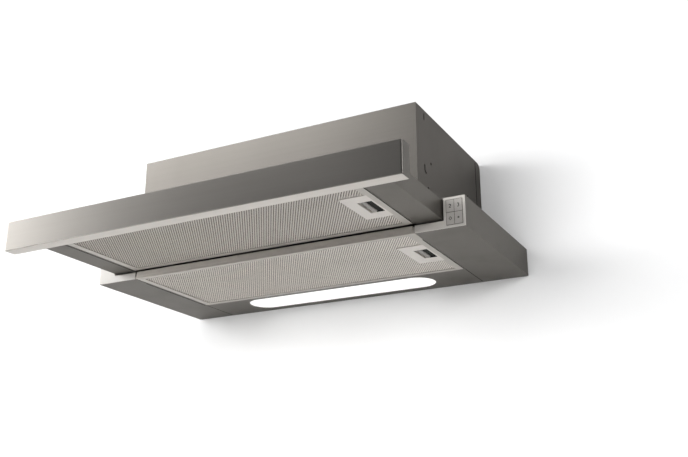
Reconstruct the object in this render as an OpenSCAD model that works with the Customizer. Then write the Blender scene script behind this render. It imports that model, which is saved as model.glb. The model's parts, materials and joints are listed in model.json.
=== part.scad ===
// Pull-out range hood, 60 cm wide, hung on a wall between or under kitchen cupboards.
// X runs from left to right and is 0 in the middle. Y runs from the room to the wall
// and is 0 on the wall. Z runs up and is 0 on the underside of the tray.
// The drawer is drawn pulled out as far as its slides let it go.

/* [Tray] */
// Width of the tray and of the fascia
tray_w = 598; // [580:1:620]
// Depth of the tray from its front to the wall
tray_d = 261; // [255:1:280]
// Height of the tray
tray_h = 41; // [40:0.5:46]
// Thickness of the folded steel sheet
sheet_t = 1; // [0.8:0.1:1.2]
// Width of the underside of a side channel
channel_w = 69.9; // [68:0.1:74]
// Height of the channels' inner lips and of the front rail, which the drawer passes over
shelf_h = 10.5; // [10:0.1:11.5]
// Thickness of the front rail's sheet
rail_sheet_t = 0.8; // [0.6:0.1:1]
// Height of the front rail's face
rail_face_h = 6.7; // [5:0.1:7.5]
// Depth of the front rail's top flange
rail_flange_d = 22; // [16:1:30]
// Gap between each end of the front rail's face and the channel
rail_end_gap = 3; // [2.8:0.1:4]
// Radius of the tray's rear corners
tray_corner_r = 3; // [2:0.5:5]
// Width of the top frame's flat inside the body's walls
frame_ledge_w = 13; // [12:1:16]

/* [Body] */
// How far the body stands in from each side of the tray
body_inset = 68; // [64:0.5:78]
// Height of the body above the tray
body_h = 150.5; // [150:0.5:170]
// How far the body's front stands behind the tray's front
body_setback = 9.8; // [6:0.2:16]
// Depth of the rear panel's flanges
rear_flange_d = 20; // [16:1:26]
// Gap at the seam between shell and rear panel
seam_gap = 0.6; // [0.3:0.1:1]
// Radius of the rear panel's top edge
rear_edge_r = 10; // [6:0.5:14]
// Radius of the holes that screw the hood to the wall
wall_hole_r = 3; // [2.5:0.1:4]
// How far the wall holes stand in from the body's sides
wall_hole_inset = 41; // [31:1:61]
// Height of the wall holes above the tray's underside
wall_hole_z = 160; // [150:1:170]
// Radius of the holes that screw the hood to the cupboard's sides
side_hole_r = 2.2; // [1.8:0.1:2.6]
// Distance of the front side hole from the body's front
side_hole_from_front = 48.7; // [44:0.1:56]
// Distance of the rear side hole from the wall
side_hole_from_wall = 61; // [50:1:70]
// Height of the side holes above the tray's underside
side_hole_z = 118; // [100:1:130]

/* [Drawer] */
// Travel of the drawer
drawer_travel = 170.4; // [150:0.1:175]
// Gap between fascia and tray with the drawer pushed in
close_gap = 0.6; // [0.4:0.1:1.5]
// Gap between the drawer's side and the keypad block
drawer_side_gap = 1.8; // [1.2:0.1:2.2]
// Gap between the drawer's underside and the front rail
drawer_under_gap = 2; // [1.5:0.1:2.2]
// Gap between the drawer's top and the top frame
drawer_over_gap = 0.8; // [0.5:0.1:1.2]
// Gap between the wall and the drawer's rear end with the drawer pushed in
drawer_rear_gap = 5; // [4:0.5:8]
// Depth of the drawer's rear cross rail
cross_rail_d = 10; // [8:1:12]
// Height of the drawer's rear cross rail
cross_rail_h = 7.5; // [6:0.5:9]

/* [Fascia] */
// Depth of the fascia
fascia_d = 18.9; // [16:0.1:24]
// Height of the fascia
fascia_h = 41.2; // [40:0.1:46]
// Height of the fascia's underside above the tray's underside
fascia_z = 1.2; // [0.6:0.1:2]
// Radius of the fascia's vertical edges
fascia_edge_r = 3; // [2:0.5:5]

/* [Filters] */
// Gap between a filter's top and the front rail's flange
filter_rail_gap = 0.7; // [0.6:0.1:1.1]
// Thickness of the filter frame's aluminium
filter_sheet_t = 0.8; // [0.6:0.1:1]
// Width of a filter frame's border at its sides
filter_border = 12; // [11:0.5:16]
// Width of a filter frame's border at its front and rear
filter_end_border = 8; // [7:0.5:14]
// Gap round a filter
filter_gap = 0.5; // [0.4:0.05:0.8]
// Radius of the filter's lower left edge, round the drop axis
filter_edge_r = 1.6; // [1.4:0.1:2]
// Pitch of the mesh's ribs
mesh_pitch = 3.6; // [3:0.1:5]
// Height of the mesh's ribs
mesh_rib_h = 1.2; // [0.8:0.1:1.6]
// Thickness of the mesh
mesh_t = 0.8; // [0.6:0.1:1.2]
// Angle that a filter drops through
filter_drop_angle = 45; // [30:1:50]

/* [Latches] */
// Width of a latch plate, left to right
plate_w = 38; // [36:0.5:42]
// Depth of a latch plate, front to back
plate_d = 78; // [70:1:84]
// Height of a latch plate
plate_h = 7; // [6.8:0.1:7.6]
// Distance of the latch plate from the filter's right edge
plate_inset = 9.6; // [7:0.1:10]
// Distance of the latch's middle from the filter's front edge
latch_from_front = 88; // [80:1:95]
// Width of the finger recess
recess_w = 19.5; // [18:0.5:22]
// Depth of the finger recess, front to back
recess_d = 38.5; // [34:0.5:40]
// Height of the finger recess
recess_h = 3.5; // [3:0.1:3.8]
// Width of the slider's grip bar
grip_w = 6; // [5:0.5:7]
// Travel of the latch slider
latch_travel = 3.5; // [3:0.1:3.8]
// Width of the slider's tongue, front to back
tongue_d = 12; // [8:0.5:14]
// Thickness of the slider's tongue
tongue_t = 1.6; // [1.2:0.1:1.8]

/* [Lamp] */
// Length of the lamp's opening
lamp_len = 327; // [280:1:340]
// Width of the lamp's opening
lamp_w = 56; // [50:1:60]
// Margin between the lamp's opening and the wall
lamp_rear_margin = 15.5; // [11:0.5:17]
// Margin between the lamp's opening and the lower filter's edge
lamp_front_margin = 7.5; // [7:0.5:12]
// How far the lamp sits to the right of the middle
lamp_offset = 2.5; // [0:0.5:6]
// Width of the lens's hidden flange
lens_flange_w = 2.4; // [2:0.1:2.8]
// Gap between the lamp housing and the drawer above it
lamp_housing_gap = 1.5; // [1:0.1:2.5]

/* [Keypad] */
// Width of the tall block of an end cap
block_w = 29.6; // [28:0.1:31]
// Margin on each side of the keypad's opening
keypad_side_margin = 3.5; // [3:0.1:4.5]
// Margin above and below the keypad's opening
keypad_end_margin = 3.35; // [3:0.05:4.5]
// Gap round a button
key_gap = 0.6; // [0.4:0.05:0.8]
// Travel of a button
key_travel = 1.2; // [0.8:0.1:1.5]
// How far a button stands proud of the cap
key_proud = 0.4; // [0.2:0.1:1.5]
// Thickness of an end cap's plastic
cap_t = 1.2; // [1:0.1:1.6]
// Depth of the end cap's housing
cap_housing_d = 26; // [22:1:32]

/* [Slides] */
// Radius of the slide balls
ball_r = 1.5; // [1.3:0.1:1.7]
// Number of balls in a row
balls_in_row = 6; // [4:1:8]
// Thickness of the runner and rail steel
slide_t = 1.2; // [1:0.1:1.4]
// Height of the drawer's slide rail
slide_rail_h = 12; // [11:0.5:13]
// Length of the rail's and runner's arms
slide_arm = 10; // [9:0.5:11]
// Thickness of the ball cage
cage_t = 0.8; // [0.6:0.1:1]

/* [Blower] */
// Outer radius of the impeller
impeller_r = 52; // [46:1:53]
// Length of the impeller
impeller_len = 112; // [90:2:116]
// Number of impeller blades
blade_count = 24; // [16:1:32]
// Radial depth of a blade
blade_depth = 9; // [7:0.5:11]
// Gap between the impeller and the scroll where the scroll starts
scroll_start_gap = 5; // [4:0.5:6]
// How much the scroll's radius grows from its start to its outlet
scroll_growth = 9; // [7:0.5:10]
// Gap between each end of the impeller and the scroll's side
impeller_end_gap = 8; // [6:0.5:10]
// Thickness of the scroll's plastic
scroll_t = 2; // [1.5:0.1:2.5]
// Depth of the scroll's outlet
outlet_d = 70; // [64:1:74]
// Gap between the scroll and the tray's top
blower_under_gap = 5; // [4:0.5:6]
// Gap between the body's front and the scroll
blower_front_gap = 41.2; // [36:0.1:46]
// Radius of the motor
motor_r = 32; // [28:1:36]
// Radius of the motor's shaft
shaft_r = 4; // [3:0.5:5]

/* [Duct] */
// Outer radius of the duct collar's spigot
duct_r = 74.5; // [74:0.1:75]
// Height of the duct collar's spigot
duct_h = 28; // [24:1:40]
// Thickness of the duct collar's plastic
duct_t = 2; // [1.6:0.1:2.5]
// Width of the duct collar's flange
duct_flange_w = 10.5; // [8:0.5:15]
// Radius of the flaps' pin
pin_r = 1.5; // [1.2:0.1:2]

/* [Electrics] */
// Radius of the mains inlet through the gland
inlet_r = 4.5; // [3.5:0.1:5]
// Radius of the motor's capacitor
capacitor_r = 14; // [12:0.5:16]
// Length of the motor's capacitor
capacitor_len = 55; // [45:1:60]

/* [Hidden] */
$fn = 64;

// Shared clearances
over = 1;
fit_gap = 0.1;
move_gap = 0.3;
bearing_gap = 0.05;

// Tray
half_w = tray_w / 2;
front_y = -tray_d;
channel_in_x = half_w - channel_w;
lip_out_x = channel_in_x + sheet_t;
frame_z = tray_h - sheet_t;
cap_back_y = front_y + cap_t;
block_in_x = half_w - block_w;
rail_flange_z = shelf_h - rail_sheet_t;
rail_tab_setback = 6;
rail_tab_d = rail_flange_d - rail_tab_setback;

// Body
body_half = half_w - body_inset;
ledge_in_x = body_half - frame_ledge_w;
wall_hole_x = body_half - wall_hole_inset;
body_front_y = front_y + body_setback;
body_top_z = tray_h + body_h;
shell_rear_y = -rear_flange_d - seam_gap;
joggle_d = 8;
side_hole_front_y = body_front_y + side_hole_from_front;
upper_slot_from_front = 26.5;
upper_slot_w = 3.2;
upper_slot_h = 10;
upper_slot_below_top = 15.5;
lower_slot_before_hole = 24;
lower_slot_below_hole = 18.5;
lower_slot_h = 10;
lower_slot_tail = 7;
lower_slot_angle = 30;
pilot_r = 1.8;
pilot_before_hole = 12.5;
pilot_below_hole = 40;

// Drawer
drawer_in_x = lip_out_x;
drawer_out_x = block_in_x - drawer_side_gap;
drawer_z = shelf_h + drawer_under_gap;
drawer_top_z = frame_z - drawer_over_gap;
fascia_rear_y = front_y - drawer_travel - close_gap;
fascia_front_y = fascia_rear_y - fascia_d;
beam_rear_y = -drawer_rear_gap - drawer_travel;
cover_rear_y = front_y - close_gap;

// Slides
ball_gap = 0.3;
slide_z = (drawer_z + drawer_top_z) / 2;
ball_z = slide_rail_h / 2 + ball_gap + ball_r;
runner_in_z = ball_z + ball_r + ball_gap;
rail_x = drawer_out_x - sheet_t;
rail_back_x = rail_x - slide_t;
rail_tip_x = rail_back_x - slide_arm;
cage_x = rail_tip_x - 2 * ball_gap - cage_t - cage_t;
runner_x = cage_x - 2 * ball_gap;
runner_back_x = runner_x - slide_t;
ball_x = (rail_tip_x + rail_back_x) / 2 - ball_r;
runner_front_gap = 12;
runner_rear_gap = 6;
rail_front_gap = 21;
rail_rear_gap = 5;
runner_y = [front_y + runner_front_gap, -runner_rear_gap];
rail_y = [fascia_rear_y + rail_front_gap, beam_rear_y - rail_rear_gap];
cage_end_gap = 2;
cage_y = [runner_y[0] + cage_end_gap, rail_y[1] - cage_end_gap];
cage_len = cage_y[1] - cage_y[0];
ball_hole_r = ball_r + 2 * bearing_gap;
hanger_d = 20;
hanger_w = 12;

// Filters
filter_h = rail_flange_z - filter_rail_gap;
lamp_panel_d = lamp_rear_margin + lamp_w + lamp_front_margin;
panel_side_gap = 0.5;
lower_half = channel_in_x - filter_gap;
upper_half = drawer_in_x - filter_gap;
filter_front_gap = 0.3;
rail_behind_gap = 0.7;
filter_front_lip_h = shelf_h - rail_face_h - move_gap;
lower_filter_y = [front_y + filter_front_gap, -lamp_panel_d - filter_gap];
upper_filter_y = [fascia_rear_y + filter_gap, front_y - filter_gap - fit_gap - close_gap - filter_front_gap];
lower_filter_z = 0;
upper_filter_z = drawer_z;
lug_len = 3.2;
lug_t = 1;
lug_d = 12;
lug_share = 0.3;
slot_top_z = filter_edge_r + (filter_edge_r + lug_len) * sin(filter_drop_angle) + lug_t + move_gap;
mesh_side_gap = 0.7;

// Latches
recess_inset = 2.5;
recess_ceiling_t = 0.8;
grip_share = 0.9;
grip_under = 0.5;
neck_w = 4;
tongue_z = recess_h + recess_ceiling_t + move_gap;
tongue_top_z = tongue_z + tongue_t;
tongue_reach = 2.2;
tongue_side_gap = 2;
tongue_cavity_d = tongue_d + 2 * tongue_side_gap;
window_side_gap = 1;
window_z = [tongue_z - move_gap, tongue_top_z + move_gap];
window_half = tongue_d / 2 + window_side_gap;
spring_leaf_t = 0.4;

// Lamp
lamp_r = lamp_w / 2;
lamp_y = -lamp_rear_margin - lamp_r;
lamp_housing_h = drawer_z - sheet_t - lamp_housing_gap;
lens_r = lamp_r - move_gap;
lens_flange_r = lamp_r + lens_flange_w;
lens_flange_t = 1.2;
housing_wall = 1.2;
housing_in_r = lens_flange_r + move_gap;
housing_foot_r = housing_in_r + 2 * housing_wall;
led_board_t = 1;
led_board_w = 16;
led_size = 5;
led_t = 0.8;
led_count = 10;

// Keypad
keypad_w = block_w - 2 * keypad_side_margin;
keypad_h = tray_h - 2 * keypad_end_margin;
keypad_x = block_in_x + keypad_side_margin;
keypad_z = keypad_end_margin;
key_w = (keypad_w - 3 * key_gap) / 2;
key_h = (keypad_h - 3 * key_gap) / 2;
key_t = 3;
key_front_y = front_y - key_proud;
key_stem_r = 1.6;
key_stem_len = 6;
board_t = 1.6;
tact_r = 2;
tact_h = 1.5;
key_back_y = key_front_y + key_t + key_stem_len;
tact_y = key_back_y + key_travel + move_gap;
keypad_board_y = tact_y + tact_h;
cap_wall = 1.5;
cap_tongue_d = 8;

// Blower
scroll_start_r = impeller_r + scroll_start_gap;
scroll_end_r = scroll_start_r + scroll_growth;
scroll_half_w = impeller_len / 2 + impeller_end_gap + scroll_t;
blower_y = body_front_y + blower_front_gap + scroll_end_r;
blower_z = tray_h + blower_under_gap + scroll_end_r;
duct_y = blower_y + scroll_end_r - outlet_d / 2;
outlet_y = [duct_y - outlet_d / 2, duct_y + outlet_d / 2];
inlet_step = 1;
inlet_hole_r = impeller_r - blade_depth + inlet_step;
scroll_steps = 27;
scroll_sweep = 270;
scroll_flange_w = 12;
scroll_flange_t = 2;
scroll_top_z = body_top_z - sheet_t;
blade_t = 1.2;
ring_t = 3;
hub_t = 3;
hub_boss_r = 9;
hub_boss_len = 8;
motor_gap = 4;
motor_from_side = 8;
motor_end_x = -scroll_half_w + motor_from_side;
motor_boss_r = 14;
bracket_t = 2;
bracket_ring_w = 7;
bracket_hub_r = 20;
bracket_arm_w = 9;
bracket_arms = 3;
shaft_end_gap = 3;

// Duct
collar_z = body_top_z;
collar_flange_t = 1.5;
duct_flange_r = duct_r + duct_flange_w;
duct_in_r = duct_r - duct_t;
flap_above_body = 9;
flap_z = collar_z + flap_above_body;
flap_t = 1.2;
flap_edge_gap = 0.7;
flap_r = duct_in_r - flap_edge_gap;
flap_knuckle_r = 3.2;
flap_mid_gap = 0.4;
ledge_w = 2.5;
ledge_t = 1.2;
knuckle_share = 0.28;
knuckle_gap = 0.5;

// Fixings
screw_head_r = 2.8;
screw_head_t = 1.6;
screw_r = 1.4;
screw_hole_r = screw_r + fit_gap;
frame_screw_y_shares = [0.2, 0.5, 0.8];

// Electrics
gland_from_side = 61;
gland_x = -body_half + gland_from_side;
gland_y = -60;
gland_body_r = 8;
gland_flange_r = 12;
gland_flange_t = 3;
gland_dome_h = 10.5;
gland_nut_t = 5;
gland_len_below = 12.5;
terminal_w = 90;
terminal_d = 60;
terminal_h = 32;
box_wall = 1.8;
control_w = 80;
control_d = 70;
control_from_side = 101;
control_from_front = 61.2;
control_x = body_half - control_from_side;
control_y = body_front_y + control_from_front;
control_post_h = 6;
control_post_r = 2.5;
control_post_shares = [0.1, 0.9];
chip_x_shares = [0.2, 0.6];
chip_y_shares = [0.3, 0.7];
chip_w_share = 0.25;
chip_h = 8;
driver_w = 80;
driver_h = 28;
driver_d = 22;
driver_from_side = 111;
driver_x = body_half - driver_from_side;
driver_z = 55;
capacitor_from_side = 26;
capacitor_x = -body_half + capacitor_from_side;
capacitor_z = 85;
foot_t = 1.5;
sensor_w = 24;
sensor_d = 9;
sensor_h = 8;
sensor_x = 110;
magnet_w = 10;
magnet_h = 5;
magnet_d = 5;

// A block given by its ends along x, y and z
module box(x, y, z) {
    translate([x[0], y[0], z[0]])
        cube([x[1] - x[0], y[1] - y[0], z[1] - z[0]]);
}

// A drawing in X and Z, drawn out from y[0] to y[1]
module along_y(y) {
    translate([0, y[1], 0])
        rotate([90, 0, 0])
            linear_extrude(y[1] - y[0])
                children();
}

// A drawing in Y and Z, drawn out from x[0] to x[1]
module along_x(x) {
    translate([x[0], 0, 0])
        rotate([90, 0, 90])
            linear_extrude(x[1] - x[0])
                children();
}

// A round bar along X, Y or Z that starts at a point
module bar_x(p, r, len) {
    translate(p)
        rotate([0, 90, 0])
            cylinder(r = r, h = len);
}

module bar_y(p, r, len) {
    translate(p)
        rotate([-90, 0, 0])
            cylinder(r = r, h = len);
}

module bar_z(p, r, len) {
    translate(p)
        cylinder(r = r, h = len);
}

// What is drawn for the right side, and its mirror image for the left
module both_sides() {
    children();
    mirror([1, 0, 0]) children();
}

// The tray seen from above, drawn in by an inset, with its two rear corners rounded
module tray_plan(inset) {
    r = tray_corner_r - inset;
    edge = half_w - inset;
    translate([-edge, front_y])
        square([2 * edge, tray_d - inset - r]);
    translate([-edge + r, front_y])
        square([2 * (edge - r), tray_d - inset]);
    for (x = [-edge + r, edge - r])
        translate([x, -inset - r])
            circle(r);
}

// A flat shape with half-round ends, as long as the lamp, with ends of radius r
module stadium(r) {
    run = lamp_len / 2 - lamp_r;
    translate([lamp_offset - run, lamp_y - r])
        square([2 * run, 2 * r]);
    for (x = [-run, run])
        translate([lamp_offset + x, lamp_y])
            circle(r);
}

module stadium_block(r, z) {
    translate([0, 0, z[0]])
        linear_extrude(z[1] - z[0])
            stadium(r);
}

// Screws of the casing: through the body's foot flange and the top frame
function frame_screw_y(share) = body_front_y + share * (-rear_flange_d - body_front_y);
frame_screw_x = body_half - sheet_t - frame_ledge_w / 2;

module frame_screw_holes() {
    both_sides()
        for (share = frame_screw_y_shares)
            bar_z([frame_screw_x, frame_screw_y(share), frame_z - over], screw_hole_r,
                  2 * sheet_t + 2 * over);
}

// Side cut-outs of the shell on its right side
module side_cuts() {
    wall_x = body_half - sheet_t - over;
    cut = sheet_t + 2 * over;
    bar_x([wall_x, side_hole_front_y, side_hole_z], side_hole_r, cut);
    bar_x([wall_x, -side_hole_from_wall, side_hole_z], side_hole_r, cut);
    bar_x([wall_x, side_hole_front_y - pilot_before_hole, side_hole_z - pilot_below_hole], pilot_r, cut);
    slot_y = body_front_y + upper_slot_from_front;
    slot_z = body_top_z - upper_slot_below_top;
    box([wall_x, wall_x + cut], [slot_y, slot_y + upper_slot_w], [slot_z, slot_z + upper_slot_h]);
    clip_y = side_hole_front_y - lower_slot_before_hole;
    clip_z = side_hole_z - lower_slot_below_hole;
    box([wall_x, wall_x + cut], [clip_y, clip_y + upper_slot_w], [clip_z, clip_z + lower_slot_h]);
    translate([wall_x, clip_y, clip_z])
        rotate([-lower_slot_angle, 0, 0])
            box([0, cut], [0, lower_slot_tail], [0, upper_slot_w]);
}

// Hole of the shell's top over the scroll's outlet
module outlet_hole(inset) {
    edge = scroll_half_w - inset;
    box([-edge, edge], [outlet_y[0] + inset, outlet_y[1] - inset], [scroll_top_z - over, body_top_z + over]);
}

module body_shell() {
    color([0.62, 0.6, 0.57])
        difference() {
            union() {
                difference() {
                    box([-body_half, body_half], [body_front_y, shell_rear_y], [tray_h, body_top_z]);
                    box([-body_half + sheet_t, body_half - sheet_t],
                        [body_front_y + sheet_t, shell_rear_y + over],
                        [tray_h + sheet_t, body_top_z - sheet_t]);
                    box([-ledge_in_x, ledge_in_x], [body_front_y + frame_ledge_w, over],
                        [tray_h - over, tray_h + sheet_t + over]);
                }
                // tongues that reach under the rear panel's flanges
                both_sides()
                    box([body_half - 2 * sheet_t, body_half - sheet_t],
                        [shell_rear_y - joggle_d, shell_rear_y + joggle_d],
                        [tray_h + sheet_t, body_top_z - sheet_t]);
                box([-body_half + 2 * sheet_t, body_half - 2 * sheet_t],
                    [shell_rear_y - joggle_d, shell_rear_y + joggle_d],
                    [body_top_z - 2 * sheet_t, body_top_z - sheet_t]);
            }
            both_sides() side_cuts();
            outlet_hole(scroll_t);
            bar_z([gland_x, gland_y, body_top_z - 2 * sheet_t - over], gland_body_r + fit_gap,
                  2 * sheet_t + 2 * over);
            frame_screw_holes();
            outlet_screw_holes();
        }
}

module rear_outline(inset) {
    r = rear_edge_r - inset;
    top = body_top_z - inset;
    translate([-rear_flange_d - (inset > 0 ? over : 0), tray_h])
        square([rear_flange_d - inset + (inset > 0 ? over : 0), body_h - inset - r]);
    translate([-rear_flange_d - (inset > 0 ? over : 0), tray_h])
        square([rear_flange_d - inset - r + (inset > 0 ? over : 0), top - tray_h]);
    translate([-inset - r, top - r])
        circle(r);
}

module rear_panel() {
    color([0.55, 0.54, 0.52])
        difference() {
            along_x([-body_half, body_half]) rear_outline(0);
            along_x([-body_half + sheet_t, body_half - sheet_t])
                difference() {
                    rear_outline(sheet_t);
                    translate([-rear_flange_d - over, tray_h - over])
                        square([rear_flange_d + 2 * over, sheet_t + over]);
                }
            for (x = [-wall_hole_x, wall_hole_x])
                bar_y([x, -sheet_t - over, wall_hole_z], wall_hole_r, sheet_t + 2 * over);
        }
}

module top_frame() {
    color([0.6, 0.59, 0.57])
        difference() {
            intersection() {
                translate([0, 0, frame_z])
                    linear_extrude(sheet_t)
                        tray_plan(sheet_t);
                box([-half_w, half_w], [cap_back_y, 0], [frame_z, tray_h]);
            }
            box([-ledge_in_x, ledge_in_x], [body_front_y + frame_ledge_w, -frame_ledge_w],
                [frame_z - over, tray_h + over]);
            frame_screw_holes();
        }
}

// Folded channel of the right side; the drawer runs inside it
module channel_shape() {
    box([half_w - sheet_t, half_w], [cap_back_y, 0], [0, tray_h]);
    box([channel_in_x, half_w], [cap_back_y, -sheet_t], [0, sheet_t]);
    box([channel_in_x, lip_out_x], [cap_back_y, -sheet_t], [0, shelf_h]);
}

module side_channel() {
    intersection() {
        channel_shape();
        linear_extrude(tray_h)
            tray_plan(0);
    }
}

function lug_y(yr) = [yr[0] + lug_share * (yr[1] - yr[0]), yr[1] - lug_share * (yr[1] - yr[0])];

// Slots in the sheet on a filter's left that its lugs turn in
module lug_slots(in_x, yr, z0) {
    for (y = lug_y(yr))
        box([-in_x - sheet_t - over, -in_x + over],
            [y - lug_d / 2 - move_gap, y + lug_d / 2 + move_gap],
            [z0 + sheet_t, z0 + slot_top_z]);
}

// Window in the sheet on a filter's right that its latch's tongue enters
module tongue_window(in_x, yr, z0) {
    y = yr[0] + latch_from_front;
    box([in_x - over, in_x + sheet_t + over], [y - window_half, y + window_half],
        [z0 + window_z[0], z0 + window_z[1]]);
}

module left_channel() {
    color([0.46, 0.45, 0.42])
        difference() {
            mirror([1, 0, 0]) side_channel();
            lug_slots(channel_in_x, lower_filter_y, lower_filter_z);
        }
}

module right_channel() {
    color([0.46, 0.45, 0.42])
        difference() {
            side_channel();
            tongue_window(channel_in_x, lower_filter_y, lower_filter_z);
        }
}

module lamp_panel() {
    side_x = channel_in_x - panel_side_gap;
    color([0.44, 0.43, 0.4])
        difference() {
            union() {
                box([-side_x, side_x], [-lamp_panel_d, 0], [0, sheet_t]);
                box([-side_x, side_x], [-lamp_panel_d, -lamp_panel_d + sheet_t], [0, filter_h]);
                box([-half_w + tray_corner_r, half_w - tray_corner_r], [-sheet_t, 0], [0, frame_z]);
            }
            stadium_block(lamp_r, [-over, sheet_t + over]);
        }
}

module front_rail() {
    face_x = channel_in_x - rail_end_gap;
    color([0.52, 0.51, 0.48]) {
        box([-face_x, face_x], [front_y, front_y + rail_sheet_t], [shelf_h - rail_face_h, shelf_h]);
        box([-face_x, face_x], [front_y, front_y + rail_flange_d], [rail_flange_z, shelf_h]);
        both_sides()
            box([face_x - over, channel_in_x],
                [front_y + rail_tab_setback, front_y + rail_tab_setback + rail_tab_d],
                [rail_flange_z, shelf_h]);
    }
}

// End cap of the right side, with or without the keypad's opening
module end_cap(keypad) {
    inner = half_w - sheet_t - fit_gap;
    floor_z = sheet_t + fit_gap;
    roof_z = frame_z - fit_gap;
    housing_y = cap_back_y + cap_housing_d;
    difference() {
        union() {
            box([channel_in_x, half_w], [front_y, cap_back_y], [0, shelf_h]);
            box([block_in_x, half_w], [front_y, cap_back_y], [0, tray_h]);
            box([block_in_x, inner], [cap_back_y - cap_t / 2, housing_y], [floor_z, roof_z]);
            box([lip_out_x + fit_gap, block_in_x + over], [cap_back_y - cap_t / 2, cap_back_y + cap_tongue_d],
                [floor_z, shelf_h]);
        }
        box([block_in_x + cap_wall, inner - cap_wall], [cap_back_y, housing_y + over],
            [floor_z + cap_wall, roof_z - cap_wall]);
        box([lip_out_x + fit_gap + cap_wall, block_in_x - cap_wall], [cap_back_y, housing_y],
            [floor_z + cap_wall, shelf_h - cap_wall]);
        if (keypad)
            box([keypad_x, keypad_x + keypad_w], [front_y - over, cap_back_y + over],
                [keypad_z, keypad_z + keypad_h]);
    }
}

module left_end_cap() {
    color([0.72, 0.71, 0.69]) mirror([1, 0, 0]) end_cap(false);
}

module right_end_cap() {
    color([0.72, 0.71, 0.69]) end_cap(true);
}

// Middle of a button, by its column and row from the lower left
function key_x(col) = keypad_x + key_gap + key_w / 2 + col * (key_w + key_gap);
function key_z(row) = keypad_z + key_gap + key_h / 2 + row * (key_h + key_gap);

module keypad_board() {
    inner = half_w - sheet_t - fit_gap - cap_wall;
    color([0.1, 0.32, 0.16]) {
        box([block_in_x + cap_wall + fit_gap, inner - fit_gap], [keypad_board_y, keypad_board_y + board_t],
            [sheet_t + 2 * fit_gap + cap_wall, frame_z - 2 * fit_gap - cap_wall]);
        for (col = [0, 1], row = [0, 1])
            bar_y([key_x(col), tact_y, key_z(row)], tact_r, tact_h + board_t / 2);
    }
}

module button(col, row) {
    color([0.78, 0.77, 0.75]) {
        box([key_x(col) - key_w / 2, key_x(col) + key_w / 2], [key_front_y, key_front_y + key_t],
            [key_z(row) - key_h / 2, key_z(row) + key_h / 2]);
        bar_y([key_x(col), key_front_y + key_t / 2, key_z(row)], key_stem_r, key_t / 2 + key_stem_len);
    }
}

module lamp_housing() {
    color([0.85, 0.85, 0.85])
        difference() {
            union() {
                stadium_block(housing_foot_r, [sheet_t, sheet_t + housing_wall]);
                stadium_block(housing_in_r + housing_wall, [sheet_t, sheet_t + lamp_housing_h]);
            }
            stadium_block(housing_in_r, [sheet_t - over, sheet_t + lamp_housing_h - housing_wall]);
        }
}

module lamp_lens() {
    color([0.97, 0.97, 0.97]) {
        stadium_block(lens_r, [0, sheet_t + lens_flange_t]);
        stadium_block(lens_flange_r, [sheet_t, sheet_t + lens_flange_t]);
    }
}

module led_strip() {
    top = sheet_t + lamp_housing_h - housing_wall;
    run = lamp_len - lamp_w;
    color([0.92, 0.92, 0.85]) {
        box([lamp_offset - run / 2, lamp_offset + run / 2],
            [lamp_y - led_board_w / 2, lamp_y + led_board_w / 2], [top - led_board_t, top]);
        for (i = [0 : led_count - 1])
            let (x = lamp_offset + run * ((i + 0.5) / led_count - 0.5))
                box([x - led_size / 2, x + led_size / 2], [lamp_y - led_size / 2, lamp_y + led_size / 2],
                    [top - led_board_t - led_t, top]);
    }
}

module led_driver() {
    color([0.2, 0.2, 0.21])
        box([driver_x, driver_x + driver_w], [-sheet_t - driver_d, -sheet_t],
            [driver_z, driver_z + driver_h]);
}

module control_board() {
    top = body_top_z - sheet_t;
    color([0.1, 0.32, 0.16]) {
        box([control_x, control_x + control_w], [control_y, control_y + control_d],
            [top - control_post_h - board_t, top - control_post_h]);
        for (x = control_post_shares, y = control_post_shares)
            bar_z([control_x + x * control_w, control_y + y * control_d, top - control_post_h - board_t / 2],
                  control_post_r, control_post_h + board_t / 2);
        for (x = chip_x_shares)
            box([control_x + x * control_w, control_x + (x + chip_w_share) * control_w],
                [control_y + chip_y_shares[0] * control_d, control_y + chip_y_shares[1] * control_d],
                [top - control_post_h - board_t - chip_h, top - control_post_h - board_t / 2]);
    }
}

module terminal_box() {
    top = body_top_z - sheet_t;
    color([0.15, 0.15, 0.16])
        difference() {
            box([gland_x - terminal_w / 2, gland_x + terminal_w / 2],
                [gland_y - terminal_d / 2, gland_y + terminal_d / 2], [top - terminal_h, top]);
            box([gland_x - terminal_w / 2 + box_wall, gland_x + terminal_w / 2 - box_wall],
                [gland_y - terminal_d / 2 + box_wall, gland_y + terminal_d / 2 - box_wall],
                [top - terminal_h + box_wall, top + over]);
        }
}

module cable_gland() {
    top = body_top_z;
    color([0.12, 0.12, 0.12])
        difference() {
            union() {
                bar_z([gland_x, gland_y, top - gland_len_below], gland_body_r,
                      gland_len_below + gland_flange_t);
                bar_z([gland_x, gland_y, top], gland_flange_r, gland_flange_t);
                bar_z([gland_x, gland_y, top + gland_flange_t], gland_body_r, gland_dome_h);
                bar_z([gland_x, gland_y, top - sheet_t - gland_nut_t], gland_flange_r, gland_nut_t);
            }
            bar_z([gland_x, gland_y, top - gland_len_below - over], inlet_r,
                  gland_len_below + gland_flange_t + gland_dome_h + 2 * over);
        }
}

module capacitor() {
    y = -sheet_t - foot_t - capacitor_r;
    color([0.86, 0.86, 0.84]) {
        bar_x([capacitor_x, y, capacitor_z], capacitor_r, capacitor_len);
        box([capacitor_x, capacitor_x + capacitor_len], [y, -sheet_t],
            [capacitor_z - capacitor_r / 2, capacitor_z + capacitor_r / 2]);
    }
}

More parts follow.
